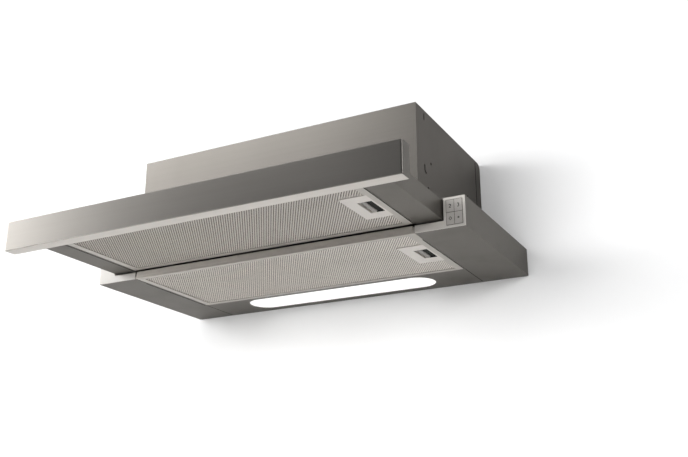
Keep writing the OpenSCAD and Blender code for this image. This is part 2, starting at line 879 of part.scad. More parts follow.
// Outline of the blower's scroll in Y and Z, drawn in by an inset
module scroll_outline(inset) {
    spiral = [for (i = [0 : scroll_steps])
        let (a = i * scroll_sweep / scroll_steps,
             r = scroll_end_r - (scroll_end_r - scroll_start_r) * i / scroll_steps - inset)
            [blower_y + r * cos(a), blower_z - r * sin(a)]];
    polygon(concat(spiral, [[blower_y, blower_z]]));
    translate([outlet_y[0] + inset, blower_z])
        square([outlet_d - 2 * inset, scroll_top_z - blower_z]);
}

// Middle of a flange screw, on the left or right and in front or behind
function flange_screw_x(side) = side * (scroll_half_w + scroll_flange_w / 2);
function flange_screw_y(side) = duct_y + side * (outlet_d / 2 + scroll_flange_w / 2);

module outlet_screw_holes() {
    for (sx = [-1, 1], sy = [-1, 1])
        bar_z([flange_screw_x(sx), flange_screw_y(sy), scroll_top_z - scroll_flange_t - over],
              screw_hole_r, scroll_flange_t + sheet_t + 2 * over);
}

// Half of the scroll, on the right of the split
module scroll_half() {
    difference() {
        union() {
            difference() {
                along_x([0, scroll_half_w]) scroll_outline(0);
                along_x([-over, scroll_half_w - scroll_t]) scroll_outline(scroll_t);
            }
            box([0, scroll_half_w + scroll_flange_w],
                [outlet_y[0] - scroll_flange_w, outlet_y[1] + scroll_flange_w],
                [scroll_top_z - scroll_flange_t, scroll_top_z]);
        }
        box([-over, scroll_half_w - scroll_t], [outlet_y[0] + scroll_t, outlet_y[1] - scroll_t],
            [blower_z + impeller_r, scroll_top_z + over]);
        bar_x([scroll_half_w - scroll_t - over, blower_y, blower_z], inlet_hole_r, scroll_t + 2 * over);
        outlet_screw_holes();
    }
}

module scroll_right() {
    color([0.3, 0.3, 0.31]) scroll_half();
}

module scroll_left() {
    color([0.3, 0.3, 0.31]) mirror([1, 0, 0]) scroll_half();
}

// The disc that carries the impeller's blades, with its hub
module impeller_disc() {
    color([0.16, 0.16, 0.17])
        translate([0, blower_y, blower_z])
            difference() {
                union() {
                    bar_x([-hub_t / 2, 0, 0], impeller_r, hub_t);
                    bar_x([-hub_t / 2, 0, 0], hub_boss_r, hub_boss_len);
                }
                bar_x([-hub_t, 0, 0], shaft_r + fit_gap / 2, hub_boss_len + 2 * hub_t);
            }
}

// A row of blades on each side of the disc
module impeller_blades() {
    row_end = impeller_len / 2 - ring_t;
    color([0.18, 0.18, 0.19])
        translate([0, blower_y, blower_z])
            for (x = [[-row_end, -hub_t / 2], [hub_t / 2, row_end]])
                for (i = [0 : blade_count - 1])
                    rotate([i * 360 / blade_count, 0, 0])
                        box(x, [impeller_r - blade_depth, impeller_r - blade_t], [-blade_t / 2, blade_t / 2]);
}

// The rings that join the blades' outer ends
module impeller_rings() {
    color([0.16, 0.16, 0.17])
        translate([0, blower_y, blower_z])
            for (x = [-impeller_len / 2, impeller_len / 2 - ring_t])
                difference() {
                    bar_x([x, 0, 0], impeller_r, ring_t);
                    bar_x([x - over, 0, 0], impeller_r - blade_depth, ring_t + 2 * over);
                }
}

module motor_shaft() {
    start = motor_end_x - shaft_end_gap;
    color([0.75, 0.75, 0.76])
        bar_x([start, blower_y, blower_z], shaft_r, hub_boss_len + hub_t - start);
}

module motor() {
    can_len = -hub_t / 2 - motor_gap - motor_end_x;
    color([0.25, 0.25, 0.27])
        difference() {
            union() {
                bar_x([motor_end_x, blower_y, blower_z], motor_r, can_len);
                bar_x([-scroll_half_w, blower_y, blower_z], motor_boss_r, motor_end_x + scroll_half_w + over);
            }
            bar_x([-scroll_half_w - over, blower_y, blower_z], shaft_r + bearing_gap, scroll_half_w);
        }
}

module motor_bracket() {
    color([0.6, 0.6, 0.61])
        translate([-scroll_half_w - bracket_t, blower_y, blower_z]) {
            difference() {
                bar_x([0, 0, 0], inlet_hole_r + bracket_ring_w, bracket_t);
                bar_x([-over, 0, 0], inlet_hole_r, bracket_t + 2 * over);
                for (i = [0 : bracket_arms - 1])
                    rotate([(i + 0.5) * 360 / bracket_arms, 0, 0])
                        bar_x([-over, inlet_hole_r + bracket_ring_w / 2, 0], screw_hole_r,
                              bracket_t + 2 * over);
            }
            difference() {
                union() {
                    bar_x([0, 0, 0], bracket_hub_r, bracket_t);
                    for (i = [0 : bracket_arms - 1])
                        rotate([i * 360 / bracket_arms, 0, 0])
                            box([0, bracket_t], [0, inlet_hole_r + bracket_ring_w / 2],
                                [-bracket_arm_w / 2, bracket_arm_w / 2]);
                }
                bar_x([-over, 0, 0], shaft_r + over, bracket_t + 2 * over);
            }
        }
}

module duct_collar() {
    color([0.13, 0.13, 0.14])
        difference() {
            union() {
                bar_z([0, duct_y, collar_z], duct_flange_r, collar_flange_t);
                bar_z([0, duct_y, collar_z], duct_r, duct_h + collar_flange_t);
            }
            difference() {
                bar_z([0, duct_y, collar_z - over], duct_in_r, duct_h + collar_flange_t + 2 * over);
                difference() {
                    bar_z([0, duct_y, flap_z - flap_t / 2 - fit_gap - ledge_t], duct_in_r + over, ledge_t);
                    bar_z([0, duct_y, flap_z - flap_t - fit_gap - ledge_t - over], duct_in_r - ledge_w,
                          ledge_t + 2 * over);
                }
            }
            bar_x([-duct_r - over, duct_y, flap_z], pin_r + bearing_gap, 2 * (duct_r + over));
        }
}

module flap_pin() {
    color([0.75, 0.75, 0.76])
        bar_x([-duct_r + fit_gap, duct_y, flap_z], pin_r, 2 * (duct_r - fit_gap));
}

// A flap behind the pin, with knuckles at the given middles
module flap(middles) {
    len = knuckle_share * duct_in_r;
    difference() {
        union() {
            intersection() {
                bar_z([0, duct_y, flap_z - flap_t / 2], flap_r, flap_t);
                box([-flap_r, flap_r], [duct_y + flap_knuckle_r + flap_mid_gap, duct_y + flap_r],
                    [flap_z - flap_t, flap_z + flap_t]);
            }
            for (x = middles) {
                bar_x([x - len / 2, duct_y, flap_z], flap_knuckle_r, len);
                box([x - len / 2, x + len / 2], [duct_y, duct_y + flap_knuckle_r + 2 * flap_mid_gap],
                    [flap_z - flap_t / 2, flap_z + flap_t / 2]);
            }
        }
        bar_x([-duct_r, duct_y, flap_z], pin_r + bearing_gap, 2 * duct_r);
    }
}

knuckle_step = knuckle_share * duct_in_r + knuckle_gap;

module rear_flap() {
    color([0.2, 0.2, 0.2]) flap([0]);
}

module front_flap() {
    color([0.2, 0.2, 0.2])
        translate([0, 2 * duct_y, 0])
            mirror([0, 1, 0]) flap([-knuckle_step, knuckle_step]);
}

// Fixed runner inside the right beam, hung from the top frame
module runner() {
    back = [runner_back_x, runner_x];
    z = [slide_z - runner_in_z - slide_t, slide_z + runner_in_z + slide_t];
    arm = [runner_back_x, rail_back_x - 2 * ball_gap];
    box(back, runner_y, z);
    box(arm, runner_y, [z[0], z[0] + slide_t]);
    box(arm, runner_y, [z[1] - slide_t, z[1]]);
    for (y = [runner_y[0], runner_y[1] - hanger_d]) {
        box(back, [y, y + hanger_d], [z[1] - slide_t, frame_z]);
        box([runner_x - hanger_w, runner_x], [y, y + hanger_d], [frame_z - slide_t, frame_z]);
    }
}

module right_runner() {
    color([0.72, 0.73, 0.75]) runner();
}

module left_runner() {
    color([0.72, 0.73, 0.75]) mirror([1, 0, 0]) runner();
}

// Slide rail on the inside of the right beam's outer wall
module rail() {
    z = [slide_z - slide_rail_h / 2, slide_z + slide_rail_h / 2];
    box([rail_back_x, rail_x], rail_y, z);
    box([rail_tip_x, rail_x], rail_y, [z[0], z[0] + slide_t]);
    box([rail_tip_x, rail_x], rail_y, [z[1] - slide_t, z[1]]);
}

module right_rail() {
    color([0.66, 0.67, 0.7]) rail();
}

module left_rail() {
    color([0.66, 0.67, 0.7]) mirror([1, 0, 0]) rail();
}

function ball_y(i) = cage_y[0] + cage_len * (i + 0.5) / balls_in_row;

module cage() {
    tip = ball_x + ball_r + 2 * cage_t;
    difference() {
        union() {
            box([cage_x, cage_x + cage_t], cage_y,
                [slide_z - ball_z - cage_t / 2, slide_z + ball_z + cage_t / 2]);
            for (z = [slide_z - ball_z, slide_z + ball_z])
                box([cage_x, tip], cage_y, [z - cage_t / 2, z + cage_t / 2]);
        }
        for (i = [0 : balls_in_row - 1])
            bar_z([ball_x, ball_y(i), slide_z - ball_z - cage_t], ball_hole_r, 2 * (ball_z + cage_t));
    }
}

module right_cage() {
    color([0.85, 0.84, 0.8]) cage();
}

module left_cage() {
    color([0.85, 0.84, 0.8]) mirror([1, 0, 0]) cage();
}

module slide_balls() {
    color([0.8, 0.8, 0.82])
        both_sides()
            for (i = [0 : balls_in_row - 1], s = [-1, 1])
                translate([ball_x, ball_y(i), slide_z + s * ball_z])
                    sphere(ball_r);
}

module fascia_plan(inset) {
    r = fascia_edge_r - inset;
    edge = half_w - inset;
    front = fascia_front_y + inset;
    back = fascia_rear_y + (inset > 0 ? over : 0);
    translate([-edge, front + r])
        square([2 * edge, back - front - r]);
    translate([-edge + r, front])
        square([2 * (edge - r), back - front]);
    for (x = [-edge + r, edge - r])
        translate([x, front + r])
            circle(r);
}

module fascia() {
    color([0.66, 0.65, 0.63])
        difference() {
            translate([0, 0, fascia_z])
                linear_extrude(fascia_h)
                    fascia_plan(0);
            translate([0, 0, fascia_z + sheet_t])
                linear_extrude(fascia_h - 2 * sheet_t)
                    fascia_plan(sheet_t);
        }
}

beam_tab_x = [drawer_in_x + sheet_t, drawer_out_x - sheet_t];
beam_tab_z = [drawer_z, drawer_top_z - sheet_t];
beam_tab_x_shares = [0.25, 0.75];
function beam_screw_x(share) = beam_tab_x[0] + share * (beam_tab_x[1] - beam_tab_x[0]);

module beam_screw_holes() {
    both_sides()
        for (share = beam_tab_x_shares)
            bar_y([beam_screw_x(share), fascia_rear_y - sheet_t - over, slide_z],
                  screw_hole_r, 2 * sheet_t + 2 * over);
}

module fascia_back() {
    color([0.4, 0.4, 0.39])
        difference() {
            box([-half_w + sheet_t, half_w - sheet_t], [fascia_rear_y - sheet_t, fascia_rear_y],
                [fascia_z + sheet_t, fascia_z + fascia_h - sheet_t]);
            beam_screw_holes();
        }
}

// Folded beam of the drawer's right side, closed in front by a tab
module beam() {
    y = [fascia_rear_y, beam_rear_y];
    difference() {
        union() {
            box([drawer_out_x - sheet_t, drawer_out_x], y, [drawer_z, drawer_top_z]);
            box([drawer_in_x, drawer_out_x], y, [drawer_z, drawer_z + sheet_t]);
            box([drawer_in_x, drawer_in_x + sheet_t], y, [drawer_z, drawer_top_z - sheet_t]);
            box([drawer_in_x, drawer_out_x], [fascia_rear_y, fascia_rear_y + sheet_t], beam_tab_z);
        }
        beam_screw_holes();
    }
}

module right_beam() {
    color([0.45, 0.44, 0.41])
        difference() {
            beam();
            tongue_window(drawer_in_x, upper_filter_y, upper_filter_z);
        }
}

module left_beam() {
    color([0.45, 0.44, 0.41])
        difference() {
            mirror([1, 0, 0]) beam();
            lug_slots(drawer_in_x, upper_filter_y, upper_filter_z);
        }
}

module drawer_cover() {
    edge = drawer_in_x + sheet_t;
    color([0.5, 0.49, 0.47])
        box([-edge, edge], [fascia_rear_y, cover_rear_y], [drawer_top_z - sheet_t, drawer_top_z]);
}

module drawer_rear_rail() {
    y = [beam_rear_y - cross_rail_d, beam_rear_y];
    z = [drawer_z, drawer_z + cross_rail_h];
    color([0.5, 0.49, 0.47]) {
        box([-drawer_in_x, drawer_in_x], [y[0], y[0] + sheet_t], z);
        box([-drawer_in_x, drawer_in_x], y, [z[1] - sheet_t, z[1]]);
        box([-drawer_in_x, drawer_in_x], [y[1] - sheet_t, y[1]], z);
    }
}

module drawer_magnet() {
    y = beam_rear_y - cross_rail_d / 2;
    z = drawer_z + cross_rail_h;
    color([0.3, 0.3, 0.32])
        box([sensor_x, sensor_x + magnet_w], [y - magnet_d / 2, y + magnet_d / 2], [z, z + magnet_h]);
}

module drawer_sensor() {
    color([0.14, 0.14, 0.15])
        box([sensor_x - sensor_w / 4, sensor_x + 3 * sensor_w / 4],
            [-sheet_t - sensor_d, -sheet_t], [frame_z - sensor_h, frame_z]);
}

// A pan-head screw at a point, head up, with its shank below
module pan_screw(len) {
    cylinder(r = screw_head_r, h = screw_head_t);
    translate([0, 0, -len])
        cylinder(r = screw_r, h = len + screw_head_t / 2);
}

module casing_screws() {
    color([0.7, 0.7, 0.72])
        both_sides()
            for (share = frame_screw_y_shares)
                translate([frame_screw_x, frame_screw_y(share), tray_h + sheet_t])
                    pan_screw(2 * sheet_t);
}

module blower_screws() {
    color([0.7, 0.7, 0.72]) {
        for (sx = [-1, 1], sy = [-1, 1])
            translate([flange_screw_x(sx), flange_screw_y(sy), scroll_top_z - scroll_flange_t])
                rotate([180, 0, 0])
                    pan_screw(scroll_flange_t + sheet_t);
        for (i = [0 : bracket_arms - 1])
            translate([-scroll_half_w - bracket_t, blower_y, blower_z])
                rotate([(i + 0.5) * 360 / bracket_arms, 0, 0])
                    translate([0, inlet_hole_r + bracket_ring_w / 2, 0])
                        rotate([0, -90, 0])
                            pan_screw(bracket_t);
    }
}

module drawer_screws() {
    color([0.7, 0.7, 0.72])
        both_sides()
            for (share = beam_tab_x_shares)
                translate([beam_screw_x(share), fascia_rear_y - sheet_t, slide_z])
                    rotate([90, 0, 0])
                        pan_screw(2 * sheet_t);
}

// Right edge of a filter's latch plate, and the middle of the latch along Y
function plate_right(half) = half - plate_inset;
function latch_y(yr) = yr[0] + latch_from_front;

module plate_outline_block(half, yr, z0, gap, height) {
    x = plate_right(half);
    y = latch_y(yr);
    box([x - plate_w - gap, x + gap], [y - plate_d / 2 - gap, y + plate_d / 2 + gap],
        [z0 - over, z0 + height]);
}

// A filter's section seen from the front, with its lower left edge rounded
module filter_section(half, z0) {
    translate([-half + filter_edge_r, z0])
        square([2 * half - filter_edge_r, filter_h]);
    translate([-half, z0 + filter_edge_r])
        square([2 * half, filter_h - filter_edge_r]);
    translate([-half + filter_edge_r, z0 + filter_edge_r])
        circle(filter_edge_r);
}

module filter_frame(half, yr, z0, front_step) {
    t = filter_sheet_t;
    b = filter_border;
    end = filter_end_border;
    step_y = front_step ? rail_sheet_t + rail_behind_gap - filter_front_gap : 0;
    color([0.72, 0.71, 0.68]) {
        difference() {
            intersection() {
                box([-half, half], yr, [z0, z0 + filter_h]);
                along_y(yr) filter_section(half, z0);
            }
            // hollow of the folded border
            box([-half + t, half - t], [yr[0] + step_y + t, yr[1] - t], [z0 + t, z0 + filter_h - t]);
            // opening through both faces
            box([-half + b, half - b], [yr[0] + end, yr[1] - end], [z0 - over, z0 + filter_h + over]);
            if (front_step)
                box([-half - over, half + over], [yr[0] - over, yr[0] + step_y],
                    [z0 + filter_front_lip_h, z0 + filter_h + over]);
            plate_outline_block(half, yr, z0, fit_gap, t + over);
            tongue_y = latch_y(yr);
            box([half - t - over, half + over], [tongue_y - window_half, tongue_y + window_half],
                [z0 + window_z[0], z0 + window_z[1]]);
        }
        for (y = lug_y(yr))
            box([-half - lug_len, -half + t / 2], [y - lug_d / 2, y + lug_d / 2],
                [z0 + filter_edge_r - lug_t / 2, z0 + filter_edge_r + lug_t / 2]);
    }
}

// Ribbed mesh drawn as a zigzag sheet
module mesh_section(half, z0) {
    width = 2 * (half - filter_sheet_t - mesh_side_gap);
    count = 2 * floor(width / mesh_pitch);
    step = width / count;
    low = [for (i = [0 : count]) [-width / 2 + i * step, z0 + (i % 2) * mesh_rib_h]];
    high = [for (i = [count : -1 : 0]) [-width / 2 + i * step, z0 + mesh_t + (i % 2) * mesh_rib_h]];
    polygon(concat(low, high));
}

module filter_mesh(half, yr, z0, front_step) {
    t = filter_sheet_t;
    step_y = front_step ? rail_sheet_t + rail_behind_gap - filter_front_gap : 0;
    color([0.7, 0.67, 0.64])
        difference() {
            along_y([yr[0] + step_y + t + mesh_side_gap, yr[1] - t - mesh_side_gap])
                mesh_section(half, z0 + t);
            plate_outline_block(half, yr, z0, fit_gap, filter_h);
        }
}

module latch_plate(half, yr, z0) {
    x = plate_right(half);
    y = latch_y(yr);
    recess = [x - recess_inset - recess_w, x - recess_inset];
    slot = [recess[0], recess[0] + move_gap + latch_travel + neck_w + move_gap];
    color([0.78, 0.77, 0.75])
        difference() {
            box([x - plate_w, x], [y - plate_d / 2, y + plate_d / 2], [z0, z0 + plate_h]);
            box(recess, [y - recess_d / 2, y + recess_d / 2], [z0 - over, z0 + recess_h]);
            box([recess[0] - recess_inset, x + over], [y - tongue_cavity_d / 2, y + tongue_cavity_d / 2],
                [z0 + recess_h + recess_ceiling_t, z0 + plate_h + over]);
            box(slot, [y - tongue_cavity_d / 2, y + tongue_cavity_d / 2],
                [z0 + recess_h - over, z0 + recess_h + recess_ceiling_t + over]);
        }
}

module latch_slider(half, in_x, yr, z0) {
    y = latch_y(yr);
    recess_left = plate_right(half) - recess_inset - recess_w;
    grip_left = recess_left + move_gap + latch_travel;
    grip_half = grip_share * recess_d / 2;
    color([0.8, 0.79, 0.77]) {
        box([grip_left, grip_left + grip_w], [y - grip_half, y + grip_half],
            [z0 + grip_under, z0 + recess_h - move_gap]);
        box([grip_left, grip_left + neck_w], [y - tongue_d / 2, y + tongue_d / 2],
            [z0 + grip_under, z0 + tongue_top_z]);
        box([grip_left, in_x + sheet_t + tongue_reach], [y - tongue_d / 2, y + tongue_d / 2],
            [z0 + tongue_z, z0 + tongue_top_z]);
    }
}

// Bent leaf between the plate's cavity and the slider
module latch_spring(half, yr, z0) {
    y = latch_y(yr);
    recess_left = plate_right(half) - recess_inset - recess_w;
    ends = [recess_left - recess_inset + fit_gap, recess_left + move_gap + latch_travel - fit_gap];
    arm = tongue_cavity_d / 4;
    t = spring_leaf_t;
    color([0.6, 0.6, 0.62])
        translate([0, 0, z0 + tongue_z])
            linear_extrude(tongue_t)
                polygon([[ends[1] - t, y - arm], [ends[1], y - arm], [ends[0] + t, y], [ends[1], y + arm],
                         [ends[1] - t, y + arm], [ends[0], y + t], [ends[0], y - t]]);
}

body_shell();
rear_panel();
top_frame();
left_channel();
right_channel();
lamp_panel();
front_rail();
left_end_cap();
right_end_cap();
keypad_board();
lamp_housing();
lamp_lens();
led_strip();
led_driver();
control_board();
terminal_box();
cable_gland();
capacitor();
scroll_left();
scroll_right();
motor();
motor_bracket();
duct_collar();
flap_pin();
left_runner();
right_runner();
drawer_sensor();
casing_screws();
blower_screws();
impeller_disc();
impeller_blades();
impeller_rings();
motor_shaft();
front_flap();
rear_flap();
button(0, 1);  // button_speed_2
button(1, 1);  // button_speed_3
button(0, 0);  // button_power
button(1, 0);  // button_light
fascia();
fascia_back();
left_beam();
right_beam();
drawer_cover();
drawer_rear_rail();
left_rail();
right_rail();
drawer_magnet();
drawer_screws();
left_cage();
right_cage();
slide_balls();
filter_frame(lower_half, lower_filter_y, lower_filter_z, true);  // lower_filter_frame
filter_mesh(lower_half, lower_filter_y, lower_filter_z, true);  // lower_filter_mesh
latch_plate(lower_half, lower_filter_y, lower_filter_z);  // lower_latch_plate
latch_slider(lower_half, channel_in_x, lower_filter_y, lower_filter_z);  // lower_latch_slider
latch_spring(lower_half, lower_filter_y, lower_filter_z);  // lower_latch_spring
filter_frame(upper_half, upper_filter_y, upper_filter_z, false);  // upper_filter_frame
filter_mesh(upper_half, upper_filter_y, upper_filter_z, false);  // upper_filter_mesh
latch_plate(upper_half, upper_filter_y, upper_filter_z);  // upper_latch_plate
latch_slider(upper_half, drawer_in_x, upper_filter_y, upper_filter_z);  // upper_latch_slider
latch_spring(upper_half, upper_filter_y, upper_filter_z);  // upper_latch_spring
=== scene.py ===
"""Looks of a pull-out range hood: finishes, filter mesh, key marks, studio and camera."""
import json
import math

import bpy
from mathutils import Matrix, Vector


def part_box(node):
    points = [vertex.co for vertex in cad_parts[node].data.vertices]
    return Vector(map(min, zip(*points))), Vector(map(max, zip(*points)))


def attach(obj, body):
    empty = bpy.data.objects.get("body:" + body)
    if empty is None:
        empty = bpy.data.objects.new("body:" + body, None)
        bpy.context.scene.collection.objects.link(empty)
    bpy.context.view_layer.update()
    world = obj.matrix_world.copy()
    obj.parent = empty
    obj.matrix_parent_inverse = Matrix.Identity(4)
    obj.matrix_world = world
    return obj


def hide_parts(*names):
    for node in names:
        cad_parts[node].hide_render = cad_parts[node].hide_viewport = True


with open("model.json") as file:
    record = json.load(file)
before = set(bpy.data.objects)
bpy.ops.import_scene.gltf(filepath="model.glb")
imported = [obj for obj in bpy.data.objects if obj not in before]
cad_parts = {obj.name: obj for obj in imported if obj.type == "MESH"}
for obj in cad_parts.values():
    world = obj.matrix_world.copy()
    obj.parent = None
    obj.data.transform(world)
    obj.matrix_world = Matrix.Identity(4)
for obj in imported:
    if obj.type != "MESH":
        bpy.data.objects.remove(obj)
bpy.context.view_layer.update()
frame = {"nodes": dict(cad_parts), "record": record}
NODES = frame["nodes"]

MM = 0.001

# Camera, as solved from the picture of the hood
CAMERA_PLACE = (0.6799, -1.3067, -0.3839)
CAMERA_FORWARD = (-0.44249, 0.83572, 0.32524)
CAMERA_LENS = 48.78
SENSOR_WIDTH = 36.0

# Room: the floor, the wall that the hood hangs on, and the grey beyond them
FLOOR_Z = -0.95
FLOOR_HALF = 6.0
FLOOR_TONE = (0.80, 0.80, 0.80, 1.0)
FLOOR_ROUGHNESS = 0.8
WALL_Y = 0.6 * MM
WALL_HALF = 4.0
WALL_TOP = 3.0
WALL_TONE = (0.86, 0.86, 0.86, 1.0)
WALL_ROUGHNESS = 0.9
WALL_LIFT_TONE = (1.0, 1.0, 1.0, 1.0)
WALL_LIFT = 0.01
ROOM_TONE = (0.17, 0.172, 0.176, 1.0)

# Lamps aimed at the hood: degrees to the left of its front and up, metres away, width and height in
# metres, and radiance. A softbox or fill only lights surfaces, and a card or strip only shows in
# reflections
LAMP_TARGET = (0.0, -0.25, 0.08)
LAMPS = {
    "key_softbox": dict(turn=21.3, rise=5.1, away=2.4, width=1.81, height=0.65, radiance=14.9, shines=False),
    "right_fill": dict(turn=-41.1, rise=6.8, away=2.6, width=1.77, height=0.42, radiance=10.5, shines=False),
    "shine_card": dict(turn=74.0, rise=16.0, away=1.9, width=1.7, height=1.7, radiance=10.8, lights=False),
    "near_card": dict(turn=36.0, rise=42.0, away=1.0, width=0.6, height=0.5, radiance=6.0, lights=False),
    "edge_strip": dict(turn=-68.0, rise=23.0, away=2.0, width=0.5, height=0.9, radiance=5.0, lights=False),
    "floor_card": dict(turn=60.0, rise=-43.0, away=1.3, width=0.8, height=0.8, radiance=9.0, lights=False),
    "top_softbox": dict(turn=20.0, rise=74.0, away=2.4, width=1.6, height=1.6, radiance=1.6, shines=False),
}

# Filter mesh: expanded aluminium, whose strands cross in long diamonds, over a ribbed sheet
DIAMOND_W = 3.6 * MM
DIAMOND_L = 5.6 * MM
STRAND_T = 0.35 * MM
STRAND_W = {-1: 1.75 * MM, 1: 1.0 * MM}
STRAND_TWIST = {-1: math.radians(-25), 1: math.radians(-21)}
GRID_SLACK = 0.001 * MM
MESH_MARGIN = 0.6 * MM
FRONT_LAYER_RISE = 0.5 * MM
MIDDLE_LAYER_RISE = 2.0 * MM
MIDDLE_LAYER_SCALE = 1.45
BACK_LAYER_RISE = 4.0 * MM
RIB_PITCH = 5.2 * MM
RIB_RISE = 0.9 * MM
RIB_T = 0.3 * MM

# Finger recess of a latch plate, and the thin black tray that lines it beside the slider: dark plastic, made
# black to paint the recess's deep shade
RECESS_INSET = 2.5 * MM
RECESS_W = 19.5 * MM
RECESS_D = 38.5 * MM
RECESS_H = 3.5 * MM
SLOT_W = 8.1 * MM
WELL_GAP = 0.05 * MM
WELL_T = 0.12 * MM
WELL_MOUTH = 0.15 * MM
WELL_FLOOR = 1.6 * MM

# Strip under the fascia, a lighter copy of its steel: painted sheen of the light its underside catches
STRIP_T = 0.2 * MM
STRIP_INSET = 1.4 * MM
STRIP_REAR_INSET = 0.1 * MM
STRIP_GAP = 0.01 * MM
STRIP_EDGE = 0.08 * MM

# Dark mat between the keys, black to paint the shade in their gaps, and the print on the keys
KEYPAD_GAP = 0.6 * MM
MAT_SINK = 0.35 * MM
MAT_T = 0.8 * MM
MAT_GAP = 0.04 * MM
MARK_WIDTH = 1.0 * MM
MARK_THICK = 0.06 * MM
MARK_SINK = 0.01 * MM

# Painted shadow lines, thin black strips: at the rear panel's flanges, along the filters' sides and beside
# the lamp panel
SHADOW_LINE_T = 0.08 * MM
SHADOW_LINE_EDGE = 0.02 * MM
SHADOW_LINE_LIFT = 0.02 * MM
SHADOW_LINE_END = 1.0 * MM
REAR_SHADOW_W = 2.4 * MM
REAR_SHADOW_TOP = 4.0 * MM
REAR_SHADOW_FOOT = 1.5 * MM
FILTER_SHADOW_W = 1.5 * MM
FILTER_SHADOW_INSET = 0.1 * MM
PANEL_SHADOW_W = 1.1 * MM
PANEL_SHADOW_END = 4.0 * MM

# Brushed grain: cycles a metre along X, Y and Z on sheets brushed level all round or along Y, detail
# of its lines, width of its slow streaks, and how far both shift the finish
LEVEL_ROUND = (14.0, 14.0, 2600.0)
ALONG_Y = (2600.0, 14.0, 2600.0)
LINE_DETAIL = 3.0
LINE_ROUGHNESS = 0.65
STREAK_SCALE = 0.12
STREAK_DETAIL = 2.0
GRAIN_DULLING = 0.02
GRAIN_TINTING = 0.09
GRAIN_BUMP = 0.004 * MM
GRAIN_BUMP_STRENGTH = 0.04
METAL_SPECULAR = 0.25
METAL_EDGE_TONE = (0.5, 0.5, 0.5, 1.0)

# Handled film: where its patches start and are full, and how far they shift the finish
FILM_DETAIL = 4.0
FILM_START = 0.45
FILM_FULL = 0.75
FILM_DULLING = 0.12
FILM_TINTING = -0.14

# Moulded plastic: detail of its texture, its uneven tone, and how far that shifts the finish
TEXTURE_DETAIL = 2.0
TEXTURE_BUMP = 0.06 * MM
TEXTURE_BUMP_STRENGTH = 0.35
TONE_SCALE = 40.0
TONE_DETAIL = 3.0
TONE_DULLING = 0.2
TONE_TINTING = 0.12

# Lamp lens: opal plastic that glows
LENS_TONE = (0.72, 0.72, 0.71, 1.0)
LENS_TEXTURE = 900.0
LENS_ROUGHNESS = 0.25
LENS_BUMP = 0.03 * MM
LENS_BUMP_STRENGTH = 0.2
GLOW_TONE = (1.0, 0.995, 0.98, 1.0)
GLOW_STRENGTH = 0.5

# Middle of a noise texture's range
NOISE_MIDDLE = 0.5


def material(name):
    """A new material, its node tree and its Principled shader."""
    made = bpy.data.materials.new(name)
    made.use_nodes = True
    tree = made.node_tree
    return made, tree, tree.nodes["Principled BSDF"]


def add_node(tree, kind, place, **values):
    made = tree.nodes.new(kind)
    made.location = place
    for key, value in values.items():
        setattr(made, key, value)
    return made


def feed(tree, socket, value):
    """Links a socket to another node's output, or sets it to a plain value."""
    if isinstance(value, bpy.types.NodeSocket):
        tree.links.new(value, socket)
    else:
        socket.default_value = value


def math_node(tree, place, operation, *values):
    made = add_node(tree, "ShaderNodeMath", place, operation=operation)
    for socket, value in zip(made.inputs, values):
        feed(tree, socket, value)
    return made.outputs[0]


def scaled(tree, place, vector, amount):
    """A vector or colour times a number."""
    made = add_node(tree, "ShaderNodeVectorMath", place, operation="SCALE")
    feed(tree, made.inputs[0], vector)
    feed(tree, made.inputs["Scale"], amount)
    return made.outputs[0]


def noise(tree, place, where, detail, scale=1.0, roughness=0.5):
    made = add_node(tree, "ShaderNodeTexNoise", place)
    feed(tree, made.inputs["Vector"], where)
    feed(tree, made.inputs["Detail"], detail)
    feed(tree, made.inputs["Scale"], scale)
    feed(tree, made.inputs["Roughness"], roughness)
    return made.outputs[0]


def smooth_mask(tree, place, value, low, high):
    """A mask that rises smoothly from 0 to 1 between two values."""
    made = add_node(tree, "ShaderNodeMapRange", place, interpolation_type="SMOOTHSTEP")
    feed(tree, made.inputs["Value"], value)
    feed(tree, made.inputs["From Min"], low)
    feed(tree, made.inputs["From Max"], high)
    return made.outputs[0]


def new_group(name, inputs, outputs):
    """A node group with named sockets, what it is given, what it puts out, and object coordinates."""
    group = bpy.data.node_groups.new(name, "ShaderNodeTree")
    for label, kind, value in inputs:
        socket = group.interface.new_socket(label, in_out="INPUT", socket_type=kind)
        socket.default_value = value
    for label, kind in outputs:
        group.interface.new_socket(label, in_out="OUTPUT", socket_type=kind)
    start = add_node(group, "NodeGroupInput", (-900, 0))
    end = add_node(group, "NodeGroupOutput", (700, 0))
    where = add_node(group, "ShaderNodeTexCoord", (-900, -300))
    return group, start.outputs, end.inputs, where.outputs["Object"]


def shift_finish(group, given, result, mask, dulling, tinting):
    """Puts out the given roughness and colour, shifted by shares of a mask."""
    rough = math_node(group, (200, -50), "MULTIPLY_ADD", mask, dulling, given["Roughness"])
    tint = math_node(group, (200, -250), "MULTIPLY_ADD", mask, tinting, 1.0)
    shade = scaled(group, (450, -200), given["Color"], tint)
    group.links.new(rough, result["Roughness"])
    group.links.new(shade, result["Color"])


